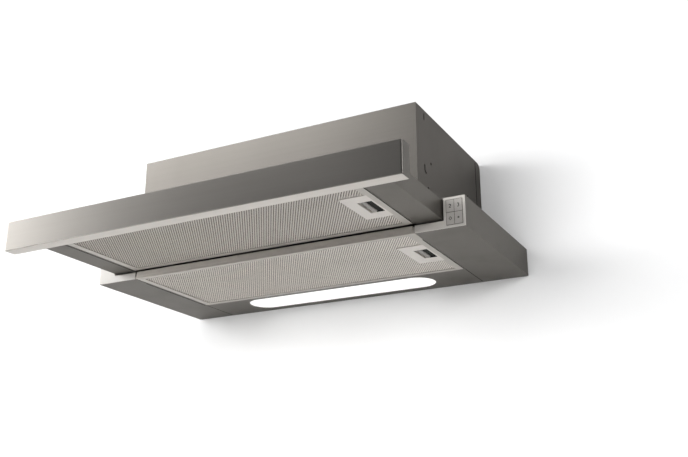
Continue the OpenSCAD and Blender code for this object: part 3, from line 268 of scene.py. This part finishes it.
def brushed_grain_group():
    """Fine lines left by a brushing belt, with slow streaks between them."""
    group, given, result, where = new_group(
        "brushed_grain",
        [("Stretch", "NodeSocketVector", (1.0, 1.0, 1.0)), ("Depth", "NodeSocketFloat", 0.5),
         ("Roughness", "NodeSocketFloat", 0.3), ("Color", "NodeSocketColor", (0.5, 0.5, 0.5, 1.0))],
        [("Color", "NodeSocketColor"), ("Roughness", "NodeSocketFloat"), ("Height", "NodeSocketFloat")])
    stretched = add_node(group, "ShaderNodeVectorMath", (-700, -200), operation="MULTIPLY")
    feed(group, stretched.inputs[0], where)
    feed(group, stretched.inputs[1], given["Stretch"])
    lines = noise(group, (-500, -100), stretched.outputs[0], LINE_DETAIL, roughness=LINE_ROUGHNESS)
    wide = scaled(group, (-500, -350), stretched.outputs[0], STREAK_SCALE)
    streaks = noise(group, (-300, -350), wide, STREAK_DETAIL)
    height = math_node(group, (200, 150), "MULTIPLY", lines, given["Depth"])
    group.links.new(height, result["Height"])
    both = math_node(group, (-100, -150), "ADD", lines, streaks)
    mask = math_node(group, (50, -150), "SUBTRACT", both, 2 * NOISE_MIDDLE)
    shift_finish(group, given, result, mask, GRAIN_DULLING, GRAIN_TINTING)
    return group


def handled_group():
    """Faint smudges and settled dust that dull a surface in soft patches."""
    group, given, result, where = new_group(
        "handled_film",
        [("Color", "NodeSocketColor", (0.5, 0.5, 0.5, 1.0)), ("Roughness", "NodeSocketFloat", 0.3),
         ("Amount", "NodeSocketFloat", 0.3), ("Patch size", "NodeSocketFloat", 14.0)],
        [("Color", "NodeSocketColor"), ("Roughness", "NodeSocketFloat")])
    patches = noise(group, (-600, -200), where, FILM_DETAIL, given["Patch size"])
    mask = smooth_mask(group, (-400, -200), patches, FILM_START, FILM_FULL)
    weight = math_node(group, (-200, -200), "MULTIPLY", mask, given["Amount"])
    shift_finish(group, given, result, weight, FILM_DULLING, FILM_TINTING)
    return group


def moulded_group():
    """Spark-eroded texture of moulded plastic, with a slight unevenness of tone."""
    group, given, result, where = new_group(
        "moulded_texture",
        [("Color", "NodeSocketColor", (0.5, 0.5, 0.5, 1.0)), ("Grain", "NodeSocketFloat", 2600.0),
         ("Roughness", "NodeSocketFloat", 0.5)],
        [("Color", "NodeSocketColor"), ("Roughness", "NodeSocketFloat"), ("Height", "NodeSocketFloat")])
    grain = noise(group, (-600, 100), where, TEXTURE_DETAIL, given["Grain"])
    group.links.new(grain, result["Height"])
    tone = noise(group, (-600, -350), where, TONE_DETAIL, TONE_SCALE)
    mask = math_node(group, (-350, -350), "SUBTRACT", tone, NOISE_MIDDLE)
    shift_finish(group, given, result, mask, TONE_DULLING, TONE_TINTING)
    return group


GRAIN = brushed_grain_group()
FILM = handled_group()
MOULDED = moulded_group()


def place_group(tree, group, place, **values):
    made = add_node(tree, "ShaderNodeGroup", place, node_tree=group)
    for label, value in values.items():
        feed(tree, made.inputs[label], value)
    return made.outputs


def bump(tree, shader, height, distance, strength):
    made = add_node(tree, "ShaderNodeBump", (-200, -300))
    made.inputs["Distance"].default_value = distance
    made.inputs["Strength"].default_value = strength
    tree.links.new(height, made.inputs["Height"])
    tree.links.new(made.outputs[0], shader.inputs["Normal"])


def brushed_metal(name, color, roughness, metallic, stretch=ALONG_Y, depth=0.5, smudge=0.4):
    """Sheet metal brushed along the axes whose stretch is small."""
    made, tree, shader = material(name)
    grain = place_group(tree, GRAIN, (-700, 0), Stretch=stretch, Depth=depth, Roughness=roughness,
                        Color=(*color, 1.0))
    film = place_group(tree, FILM, (-450, 0), Amount=smudge, Color=grain["Color"],
                       Roughness=grain["Roughness"])
    tree.links.new(film["Color"], shader.inputs["Base Color"])
    tree.links.new(film["Roughness"], shader.inputs["Roughness"])
    shader.inputs["Metallic"].default_value = metallic
    shader.inputs["Specular IOR Level"].default_value = METAL_SPECULAR
    shader.inputs["Specular Tint"].default_value = METAL_EDGE_TONE
    bump(tree, shader, grain["Height"], GRAIN_BUMP, GRAIN_BUMP_STRENGTH)
    return made


def moulded_plastic(name, color, roughness, grain=2600.0, shine=0.5):
    """Moulded plastic, of any colour and gloss."""
    made, tree, shader = material(name)
    skin = place_group(tree, MOULDED, (-600, 0), Color=(*color, 1.0), Grain=grain, Roughness=roughness)
    tree.links.new(skin["Color"], shader.inputs["Base Color"])
    tree.links.new(skin["Roughness"], shader.inputs["Roughness"])
    shader.inputs["Specular IOR Level"].default_value = shine
    bump(tree, shader, skin["Height"], TEXTURE_BUMP, TEXTURE_BUMP_STRENGTH)
    return made


def opal_lens(name):
    """Opal plastic lit evenly from behind."""
    made, tree, shader = material(name)
    skin = place_group(tree, MOULDED, (-600, 0), Color=LENS_TONE, Grain=LENS_TEXTURE,
                       Roughness=LENS_ROUGHNESS)
    tree.links.new(skin["Color"], shader.inputs["Base Color"])
    tree.links.new(skin["Roughness"], shader.inputs["Roughness"])
    shader.inputs["Emission Color"].default_value = GLOW_TONE
    shader.inputs["Emission Strength"].default_value = GLOW_STRENGTH
    bump(tree, shader, skin["Height"], LENS_BUMP, LENS_BUMP_STRENGTH)
    return made


METALS = {
    "body_steel": dict(color=(0.125, 0.117, 0.107), roughness=0.42, metallic=0.9,
                       stretch=LEVEL_ROUND, smudge=0.2),
    "tray_steel": dict(color=(0.150, 0.141, 0.127), roughness=0.38, metallic=0.75),
    "fascia_steel": dict(color=(0.158, 0.150, 0.139), roughness=0.31, metallic=0.95,
                         stretch=LEVEL_ROUND, smudge=0.1),
    # A lighter copy of the fascia's steel for the strip under it: painted sheen
    "painted_sheen_strip": dict(color=(0.55, 0.52, 0.485), roughness=0.4, metallic=0.5,
                       stretch=LEVEL_ROUND, smudge=0.1),
    "filter_aluminium": dict(color=(0.40, 0.377, 0.345), roughness=0.45, metallic=0.4),
    "mesh_aluminium": dict(color=(0.60, 0.562, 0.518), roughness=0.42, metallic=0.4),
    # A lighter copy of the mesh aluminium: painted light on the lower filter's face
    "bright_mesh": dict(color=(0.70, 0.658, 0.61), roughness=0.42, metallic=0.4),
    # A near-black copy of the mesh aluminium: painted shade of the layers behind the front one
    "inner_mesh": dict(color=(0.075, 0.07, 0.063), roughness=0.5, metallic=0.4),
    "zinc_steel": dict(color=(0.55, 0.56, 0.58), roughness=0.32, metallic=0.9, depth=0.2),
    "ball_steel": dict(color=(0.62, 0.62, 0.64), roughness=0.15, metallic=1.0, depth=0.05),
}
PLASTICS = {
    "cap_plastic": dict(color=(0.47, 0.45, 0.42), roughness=0.38),
    "button_plastic": dict(color=(0.36, 0.342, 0.32), roughness=0.4),
    "key_print": dict(color=(0.03, 0.03, 0.03), roughness=0.5, grain=1800.0),
    "latch_plastic": dict(color=(0.52, 0.485, 0.45), roughness=0.42),
    # A darker copy of the latch plastic: painted shade of the recessed sliders
    "painted_shade_latch": dict(color=(0.20, 0.187, 0.172), roughness=0.42, shine=0.3),
    "housing_white": dict(color=(0.80, 0.80, 0.80), roughness=0.4),
    "black_plastic": dict(color=(0.022, 0.022, 0.022), roughness=0.45, grain=1600.0),
    # Near black with little shine, for the pieces that paint the shade in recesses, key gaps and seams
    "painted_shade_black": dict(color=(0.012, 0.012, 0.011), roughness=0.6, grain=1200.0, shine=0.04),
    "board_green": dict(color=(0.02, 0.12, 0.05), roughness=0.35, grain=900.0),
    "board_white": dict(color=(0.82, 0.82, 0.78), roughness=0.4, grain=900.0),
    "motor_grey": dict(color=(0.05, 0.05, 0.055), roughness=0.4, grain=1800.0),
    "capacitor_shell": dict(color=(0.70, 0.70, 0.68), roughness=0.4),
    "cage_plastic": dict(color=(0.62, 0.60, 0.54), roughness=0.45),
}
FINISHES = {name: brushed_metal(name, **values) for name, values in METALS.items()}
FINISHES.update({name: moulded_plastic(name, **values) for name, values in PLASTICS.items()})
FINISHES["lens_white"] = opal_lens("lens_white")

# The latch sliders take a darker copy of their slot's plastic, painted shade of their recess, and the lower
# filter's face a lighter copy of its mesh, painted light
NODE_FINISHES = {"lower_latch_slider": "painted_shade_latch", "upper_latch_slider": "painted_shade_latch"}
FRONT_MESH = {"lower": "bright_mesh", "upper": "mesh_aluminium"}


def dress_nodes():
    """Gives each CAD node the finish of its slot, or one of its own."""
    slots = {row["node"]: row["material_slot"] for row in frame["record"]["subparts"]}
    for name, node in NODES.items():
        node.data.materials.clear()
        node.data.materials.append(FINISHES[NODE_FINISHES.get(name, slots[name])])


# Radius of the folds and moulded edges of the nodes that show
EDGE_RADIUS = {
    "body_shell": 0.8 * MM, "rear_panel": 0.8 * MM, "left_channel": 0.7 * MM, "right_channel": 0.7 * MM,
    "lamp_panel": 0.35 * MM, "front_rail": 0.3 * MM, "fascia": 0.6 * MM, "fascia_back": 0.3 * MM,
    "left_end_cap": 0.7 * MM, "right_end_cap": 0.7 * MM, "left_beam": 0.6 * MM, "right_beam": 0.6 * MM,
    "button_speed_2": 0.35 * MM, "button_speed_3": 0.35 * MM, "button_power": 0.35 * MM,
    "button_light": 0.35 * MM, "lamp_lens": 0.35 * MM, "duct_collar": 0.4 * MM,
    "lower_filter_frame": 0.3 * MM, "upper_filter_frame": 0.3 * MM,
    "lower_latch_plate": 0.5 * MM, "upper_latch_plate": 0.5 * MM,
    "lower_latch_slider": 0.5 * MM, "upper_latch_slider": 0.5 * MM, "cable_gland": 0.5 * MM,
}
WELD_GAP = 0.005 * MM
FOLD_ANGLE = math.radians(40)
FLAT_ANGLE = math.radians(0.5)
FOLD_SEGMENTS = 3
BAR_SEGMENTS = 2


def soften_edges():
    """Rounds the folds and moulded edges, on faces first made whole."""
    for name, radius in EDGE_RADIUS.items():
        node = NODES[name]
        weld = node.modifiers.new("joined faces", "WELD")
        weld.merge_threshold = WELD_GAP
        flat = node.modifiers.new("whole faces", "DECIMATE")
        flat.decimate_type = "DISSOLVE"
        flat.angle_limit = FLAT_ANGLE
        edge = node.modifiers.new("soft edges", "BEVEL")
        edge.width = radius
        edge.segments = FOLD_SEGMENTS
        edge.limit_method = "ANGLE"
        edge.angle_limit = FOLD_ANGLE
        edge.use_clamp_overlap = True
        even = node.modifiers.new("even shading", "WEIGHTED_NORMAL")
        even.keep_sharp = False


def new_piece(name, verts, faces, surface):
    """A mesh object with one material."""
    data = bpy.data.meshes.new(name)
    data.from_pydata(verts, [], faces)
    data.validate()
    data.update()
    data.materials.append(surface)
    made = bpy.data.objects.new(name, data)
    bpy.context.scene.collection.objects.link(made)
    return made


def carried_piece(name, body, slot, verts, faces, finish):
    """A piece in a named finish that rides on a body; its slot is not used."""
    made = new_piece(name, verts, faces, FINISHES[finish])
    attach(made, body)
    return made


BOX_FACES = [(0, 1, 3, 2), (4, 6, 7, 5), (0, 4, 5, 1), (2, 3, 7, 6), (0, 2, 6, 4), (1, 5, 7, 3)]


def bar_piece(name, body, slot, low, high, finish, radius):
    """A bar between two corners with its edges rounded."""
    corners = [(x, y, z) for x in (low[0], high[0]) for y in (low[1], high[1]) for z in (low[2], high[2])]
    made = carried_piece(name, body, slot, corners, BOX_FACES, finish)
    edge = made.modifiers.new("soft edges", "BEVEL")
    edge.width = radius
    edge.segments = BAR_SEGMENTS


def add_strand(verts, faces, start, end, width, twist):
    """A flat strand from one bond to the next, twisted about its own length."""
    run = (end - start).normalized()
    side = Vector((run.y, -run.x, 0))
    up = Vector((0, 0, 1))
    across = (side * math.cos(twist) + up * math.sin(twist)) * (width / 2)
    through = (up * math.cos(twist) - side * math.sin(twist)) * (STRAND_T / 2)
    base = len(verts)
    for point in (start, end):
        for a in (-1, 1):
            for b in (-1, 1):
                verts.append(point + across * a + through * b)
    faces.extend(tuple(base + i for i in face) for face in BOX_FACES)


def inside(point, low, high):
    return low[0] < point.x < high[0] and low[1] < point.y < high[1]


def expanded_sheet(low, high, z, cut, scale=1.0):
    """Corners and faces of expanded metal with a rectangular cut-out; its strands lean both ways."""
    columns = int((high[0] - low[0]) / (DIAMOND_W * scale))
    rows = int((high[1] - low[1]) / (DIAMOND_L * scale / 2))
    step_x = (high[0] - low[0]) / columns
    step_y = (high[1] - low[1]) / rows
    left, right = low[0] - GRID_SLACK, high[0] + GRID_SLACK
    verts, faces = [], []
    for row in range(rows):
        shift = 0.5 * (row % 2)
        for column in range(columns + 1):
            start = Vector((low[0] + (column + shift) * step_x, low[1] + row * step_y, z))
            for turn in (-1, 1):
                end = start + Vector((turn * step_x / 2, step_y, 0))
                if max(start.x, end.x) > right or min(start.x, end.x) < left:
                    continue
                if inside((start + end) / 2, *cut):
                    continue
                add_strand(verts, faces, start, end, STRAND_W[turn] * scale, STRAND_TWIST[turn])
    return verts, faces


def ribbed_sheet(low, high, z):
    """Corners and faces of a closed sheet folded into low ribs along Y."""
    count = 2 * int((high[0] - low[0]) / RIB_PITCH)
    step = (high[0] - low[0]) / count
    verts = []
    for i in range(count + 1):
        x = low[0] + i * step
        fold_z = z + RIB_RISE * (i % 2)
        verts += [(x, low[1], fold_z), (x, low[1], fold_z + RIB_T),
                  (x, high[1], fold_z), (x, high[1], fold_z + RIB_T)]
    faces = []
    for i in range(count):
        a, b = 4 * i, 4 * (i + 1)
        faces += [(a, a + 2, b + 2, b), (a + 1, b + 1, b + 3, a + 3),
                  (a, b, b + 1, a + 1), (a + 2, a + 3, b + 3, b + 2)]
    last = 4 * count
    faces += [(0, 1, 3, 2), (last, last + 2, last + 3, last + 1)]
    return verts, faces


def filter_mesh(side):
    """The layers of metal that fill a filter, the front one in the place of its CAD mesh."""
    low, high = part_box(side + "_filter_mesh")
    plate_low, plate_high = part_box(side + "_latch_plate")
    cut = ((plate_low.x, plate_low.y), (plate_high.x, plate_high.y))
    corners = ((low.x + MESH_MARGIN, low.y + MESH_MARGIN), (high.x - MESH_MARGIN, high.y - MESH_MARGIN))
    layer = (side + "_filter", "mesh_aluminium")
    # The lower filter's front layer takes a lighter copy of the mesh finish: painted light
    front = carried_piece(side + "_mesh_front_layer", *layer,
                          *expanded_sheet(*corners, low.z + FRONT_LAYER_RISE, cut), FRONT_MESH[side])
    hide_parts(side + "_filter_mesh")
    # The layers behind take a near-black copy of the mesh finish: painted shade
    carried_piece(side + "_mesh_middle_layer", *layer,
                  *expanded_sheet(*corners, low.z + MIDDLE_LAYER_RISE, cut, MIDDLE_LAYER_SCALE),
                  "inner_mesh")
    carried_piece(side + "_mesh_back_layer", *layer,
                  *ribbed_sheet(*corners, low.z + BACK_LAYER_RISE), "inner_mesh")


def well_liner(side):
    """A thin black tray, open to the slider, that lines a latch's finger recess: dark plastic, made black to
    paint the recess's deep shade.
    """
    low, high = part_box(side + "_latch_plate")
    middle = (low.y + high.y) / 2
    right = high.x - RECESS_INSET - WELL_GAP
    left = high.x - RECESS_INSET - RECESS_W + SLOT_W + WELL_GAP
    rear, front = middle + RECESS_D / 2 - WELL_GAP, middle - RECESS_D / 2 + WELL_GAP
    mouth, top = low.z + WELL_MOUTH, low.z + RECESS_H - WELL_GAP
    floor = low.z + WELL_FLOOR
    outer = [(left, front), (right, front), (right, rear), (left, rear)]
    inner = [(left, front + WELL_T), (right - WELL_T, front + WELL_T),
             (right - WELL_T, rear - WELL_T), (left, rear - WELL_T)]
    verts = [(x, y, mouth) for x, y in outer] + [(x, y, top) for x, y in outer]
    verts += [(x, y, mouth) for x, y in inner] + [(x, y, floor) for x, y in inner]
    faces = [(4, 5, 6, 7), (12, 15, 14, 13), (0, 1, 5, 4), (1, 2, 6, 5), (2, 3, 7, 6),
             (8, 12, 13, 9), (9, 13, 14, 10), (10, 14, 15, 11),
             (0, 8, 9, 10, 11, 3, 2, 1), (0, 4, 7, 3, 11, 15, 12, 8)]
    carried_piece(side + "_latch_well", side + "_filter", "black_plastic", verts, faces, "painted_shade_black")


def fascia_strip():
    """The strip of metal under the fascia, a lighter copy of its steel: painted sheen of the light the
    underside catches.
    """
    low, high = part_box("fascia")
    bar_piece("fascia_under_strip", "drawer", "filter_aluminium",
              (low.x + STRIP_INSET, low.y + STRIP_INSET, low.z - STRIP_T),
              (high.x - STRIP_INSET, high.y - STRIP_REAR_INSET, low.z - STRIP_GAP),
              "painted_sheen_strip", STRIP_EDGE)


def shadow_line(name, body, low, high):
    """A thin black strip between two corners: a painted shadow line."""
    bar_piece(name + "_painted_shadow", body, "black_plastic", low, high, "painted_shade_black", SHADOW_LINE_EDGE)


def strip_edges(x, turn, inset, width):
    """The left and right edges of a strip that starts an inset away from x."""
    return sorted((x + turn * inset, x + turn * (inset + width)))


def rear_shadow_lines():
    """The painted shadow lines before the rear panel's flanges, on the body's sides."""
    low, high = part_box("body_shell")
    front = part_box("rear_panel")[0].y - REAR_SHADOW_W
    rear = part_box("rear_panel")[0].y - SHADOW_LINE_LIFT
    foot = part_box("right_channel")[1].z + REAR_SHADOW_FOOT
    for word, x, turn in (("left", low.x, -1), ("right", high.x, 1)):
        near, far = strip_edges(x, turn, SHADOW_LINE_LIFT, SHADOW_LINE_T)
        shadow_line(word + "_rear", "casing", (near, front, foot), (far, rear, high.z - REAR_SHADOW_TOP))


def seam_shadow_lines(name, body, edges, front, rear, z):
    """The painted shadow lines on an underside, each from a seam's x towards the middle."""
    for word, (x, turn, inset, width) in edges.items():
        near, far = strip_edges(x, turn, inset, width)
        shadow_line("%s_%s" % (name, word), body, (near, front, z - SHADOW_LINE_LIFT - SHADOW_LINE_T), (far, rear, z - SHADOW_LINE_LIFT))


def filter_shadow_lines(side, front):
    """The painted shadow lines along a filter's sides, from where its front shows to its rear."""
    low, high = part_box(side + "_filter_frame")
    seam_shadow_lines(side + "_filter", side + "_filter",
               {"left": (low.x, 1, FILTER_SHADOW_INSET, FILTER_SHADOW_W),
                "right": (high.x, -1, FILTER_SHADOW_INSET, FILTER_SHADOW_W)},
               front + SHADOW_LINE_END, high.y - SHADOW_LINE_END, low.z)


def lamp_panel_shadow_lines():
    """The painted shadow lines where the lamp panel meets the side channels."""
    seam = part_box("right_channel")[0].x
    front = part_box("lower_filter_frame")[1].y + SHADOW_LINE_END
    seam_shadow_lines("lamp_panel", "casing",
               {"left": (-seam, 1, 0, PANEL_SHADOW_W), "right": (seam, -1, 0, PANEL_SHADOW_W)},
               front, -PANEL_SHADOW_END, 0)


def arc(cx, cz, radius, start, end, steps):
    """Points along an arc in X and Z, between two angles in degrees."""
    turns = [math.radians(start + (end - start) * i / steps) for i in range(steps + 1)]
    return [(cx + radius * math.cos(turn), cz + radius * math.sin(turn)) for turn in turns]


# Marks on the keys: lines in millimetres from the middle of each key, and whether they close
MARKS = {
    "button_speed_2": [(arc(0, 1.0, 1.2, 160, -30, 12) + [(-1.2, -2.2), (1.3, -2.2)], False)],
    "button_speed_3": [(arc(0, 1.05, 1.1, 150, -80, 12) + arc(0, -1.1, 1.15, 80, -150, 12), False)],
    "button_power": [([(0, 2.2), (1.8, 0), (0, -2.2), (-1.8, 0)], True)],
    "button_light": [(arc(0, 0, 0.8, 0, 330, 11), True)],
}


def stroke(lines, y):
    """Corners and faces of flat printed lines, from points in X and Z, facing the room."""
    verts, faces = [], []
    for points, closed in lines:
        count = len(points)
        base = len(verts)
        for i, (x, z) in enumerate(points):
            before = points[i - 1] if i > 0 or closed else points[i]
            after = points[(i + 1) % count] if i < count - 1 or closed else points[i]
            run = Vector((after[0] - before[0], after[1] - before[1])).normalized()
            side = Vector((run.y, -run.x)) * (MARK_WIDTH / 2)
            for depth in (0, MARK_THICK):
                verts.append((x + side.x, y - depth, z + side.y))
                verts.append((x - side.x, y - depth, z - side.y))
        for i in range(count if closed else count - 1):
            a = base + 4 * i
            b = base + 4 * ((i + 1) % count)
            faces += [(a + 2, a + 3, b + 3, b + 2), (a, b, b + 1, a + 1),
                      (a, a + 2, b + 2, b), (a + 1, b + 1, b + 3, a + 3)]
        if not closed:
            last = base + 4 * (count - 1)
            faces += [(base, base + 1, base + 3, base + 2), (last, last + 2, last + 3, last + 1)]
    return verts, faces


def key_marks():
    """The digits and symbols printed on the keys."""
    for key, lines in MARKS.items():
        low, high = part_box(key)
        x = (low.x + high.x) / 2
        z = (low.z + high.z) / 2
        placed = [([(x + px * MM, z + pz * MM) for px, pz in points], closed) for points, closed in lines]
        carried_piece(key + "_mark", key, "black_plastic", *stroke(placed, low.y + MARK_SINK), "key_print")


def distinct(values):
    """The values in order, with those that agree to a thousandth of a millimetre merged."""
    return sorted({round(value, 6) for value in values})


def mat_lines(starts, ends):
    """Grid lines of the key mat along one axis: its own edges, and those of its holes for the keys."""
    starts, ends = distinct(starts), distinct(ends)
    lines = [starts[0] - KEYPAD_GAP + MAT_GAP]
    for start, end in zip(starts, ends):
        lines += [start - MAT_GAP, end + MAT_GAP]
    return lines + [ends[-1] + KEYPAD_GAP - MAT_GAP]


def key_mat():
    """The dark mat that shows as lines between the keys and round them, black to paint the shade in these
    gaps.
    """
    lows, highs = zip(*(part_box(key) for key in MARKS))
    xs = mat_lines([low.x for low in lows], [high.x for high in highs])
    zs = mat_lines([low.z for low in lows], [high.z for high in highs])
    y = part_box("right_end_cap")[0].y + MAT_SINK
    wide = len(xs)
    verts = [(x, y, z) for z in zs for x in xs]
    faces = [(r * wide + c, r * wide + c + 1, (r + 1) * wide + c + 1, (r + 1) * wide + c)
             for r in range(len(zs) - 1) for c in range(wide - 1) if c % 2 == 0 or r % 2 == 0]
    made = carried_piece("key_mat", "casing", "black_plastic", verts, faces, "painted_shade_black")
    body = made.modifiers.new("thickness", "SOLIDIFY")
    body.thickness = MAT_T
    body.offset = -1.0


def set_camera():
    forward = Vector(CAMERA_FORWARD).normalized()
    right = forward.cross(Vector((0, 0, 1))).normalized()
    up = right.cross(forward)
    data = bpy.data.cameras.new("camera")
    data.lens = CAMERA_LENS
    data.sensor_width = SENSOR_WIDTH
    camera = bpy.data.objects.new("camera", data)
    turn = Matrix((right, up, -forward)).transposed().to_4x4()
    camera.matrix_world = Matrix.Translation(CAMERA_PLACE) @ turn
    bpy.context.scene.collection.objects.link(camera)
    bpy.context.scene.camera = camera


def set_world():
    """The even grey of the room beyond the floor and the wall."""
    world = bpy.data.worlds.new("studio")
    world.use_nodes = True
    world.node_tree.nodes["Background"].inputs["Color"].default_value = ROOM_TONE
    bpy.context.scene.world = world


def matt_paint(name, tone, roughness):
    """Plain matt paint, its node tree and its shader."""
    made, tree, shader = material(name)
    shader.inputs["Base Color"].default_value = tone
    shader.inputs["Roughness"].default_value = roughness
    return made, tree, shader


def set_floor():
    """The pale floor."""
    half = FLOOR_HALF
    paint, tree, shader = matt_paint("floor_paint", FLOOR_TONE, FLOOR_ROUGHNESS)
    corners = [(-half, -half, FLOOR_Z), (half, -half, FLOOR_Z), (half, half, FLOOR_Z),
               (-half, half, FLOOR_Z)]
    new_piece("floor", corners, [(0, 1, 2, 3)], paint)


def lifted(tree, surface):
    """Adds a little white to a surface for camera, mirror and glass rays only."""
    path = add_node(tree, "ShaderNodeLightPath", (-900, 400)).outputs
    mirrored = math_node(tree, (-700, 400), "MAXIMUM", path["Is Camera Ray"], path["Is Glossy Ray"])
    seen = math_node(tree, (-500, 400), "MAXIMUM", mirrored, path["Is Transmission Ray"])
    level = math_node(tree, (-300, 400), "MULTIPLY", seen, WALL_LIFT)
    white = add_node(tree, "ShaderNodeEmission", (-100, 300))
    white.inputs["Color"].default_value = WALL_LIFT_TONE
    tree.links.new(level, white.inputs["Strength"])
    both = add_node(tree, "ShaderNodeAddShader", (100, 200))
    tree.links.new(surface, both.inputs[0])
    tree.links.new(white.outputs[0], both.inputs[1])
    return both.outputs[0]


def set_wall():
    """The pale wall, clear from behind, so that the hood's rear shows through it."""
    half = WALL_HALF
    paint, tree, shader = matt_paint("wall_paint", WALL_TONE, WALL_ROUGHNESS)
    clear = add_node(tree, "ShaderNodeBsdfTransparent", (0, -200))
    side = add_node(tree, "ShaderNodeNewGeometry", (-200, 300))
    mixed = add_node(tree, "ShaderNodeMixShader", (300, 100))
    tree.links.new(side.outputs["Backfacing"], mixed.inputs[0])
    tree.links.new(lifted(tree, shader.outputs[0]), mixed.inputs[1])
    tree.links.new(clear.outputs[0], mixed.inputs[2])
    tree.links.new(mixed.outputs[0], tree.nodes["Material Output"].inputs["Surface"])
    corners = [(-half, WALL_Y, FLOOR_Z), (half, WALL_Y, FLOOR_Z), (half, WALL_Y, WALL_TOP),
               (-half, WALL_Y, WALL_TOP)]
    new_piece("wall", corners, [(0, 1, 2, 3)], paint)


def softbox(name, turn, rise, away, width, height, radiance, lights=True, shines=True):
    """A soft rectangular lamp aimed at the hood."""
    flat = math.cos(math.radians(rise))
    toward = Vector((-math.sin(math.radians(turn)) * flat, -math.cos(math.radians(turn)) * flat,
                     math.sin(math.radians(rise))))
    data = bpy.data.lights.new(name, "AREA")
    data.shape = "RECTANGLE"
    data.size = width
    data.size_y = height
    data.energy = radiance * math.pi * width * height
    made = bpy.data.objects.new(name, data)
    made.location = Vector(LAMP_TARGET) + toward * away
    made.rotation_euler = (-toward).to_track_quat("-Z", "Y").to_euler()
    made.visible_camera = False
    made.visible_diffuse = lights
    made.visible_glossy = shines
    bpy.context.scene.collection.objects.link(made)


set_camera()
dress_nodes()
soften_edges()
filter_mesh("lower")
filter_mesh("upper")
key_marks()
key_mat()
well_liner("lower")
well_liner("upper")
fascia_strip()
rear_shadow_lines()
filter_shadow_lines("lower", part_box("left_end_cap")[1].y)
filter_shadow_lines("upper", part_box("upper_filter_frame")[0].y)
lamp_panel_shadow_lines()
set_world()
set_floor()
set_wall()
for lamp, settings in LAMPS.items():
    softbox(lamp, **settings)

bpy.context.scene.view_settings.view_transform = "Standard"
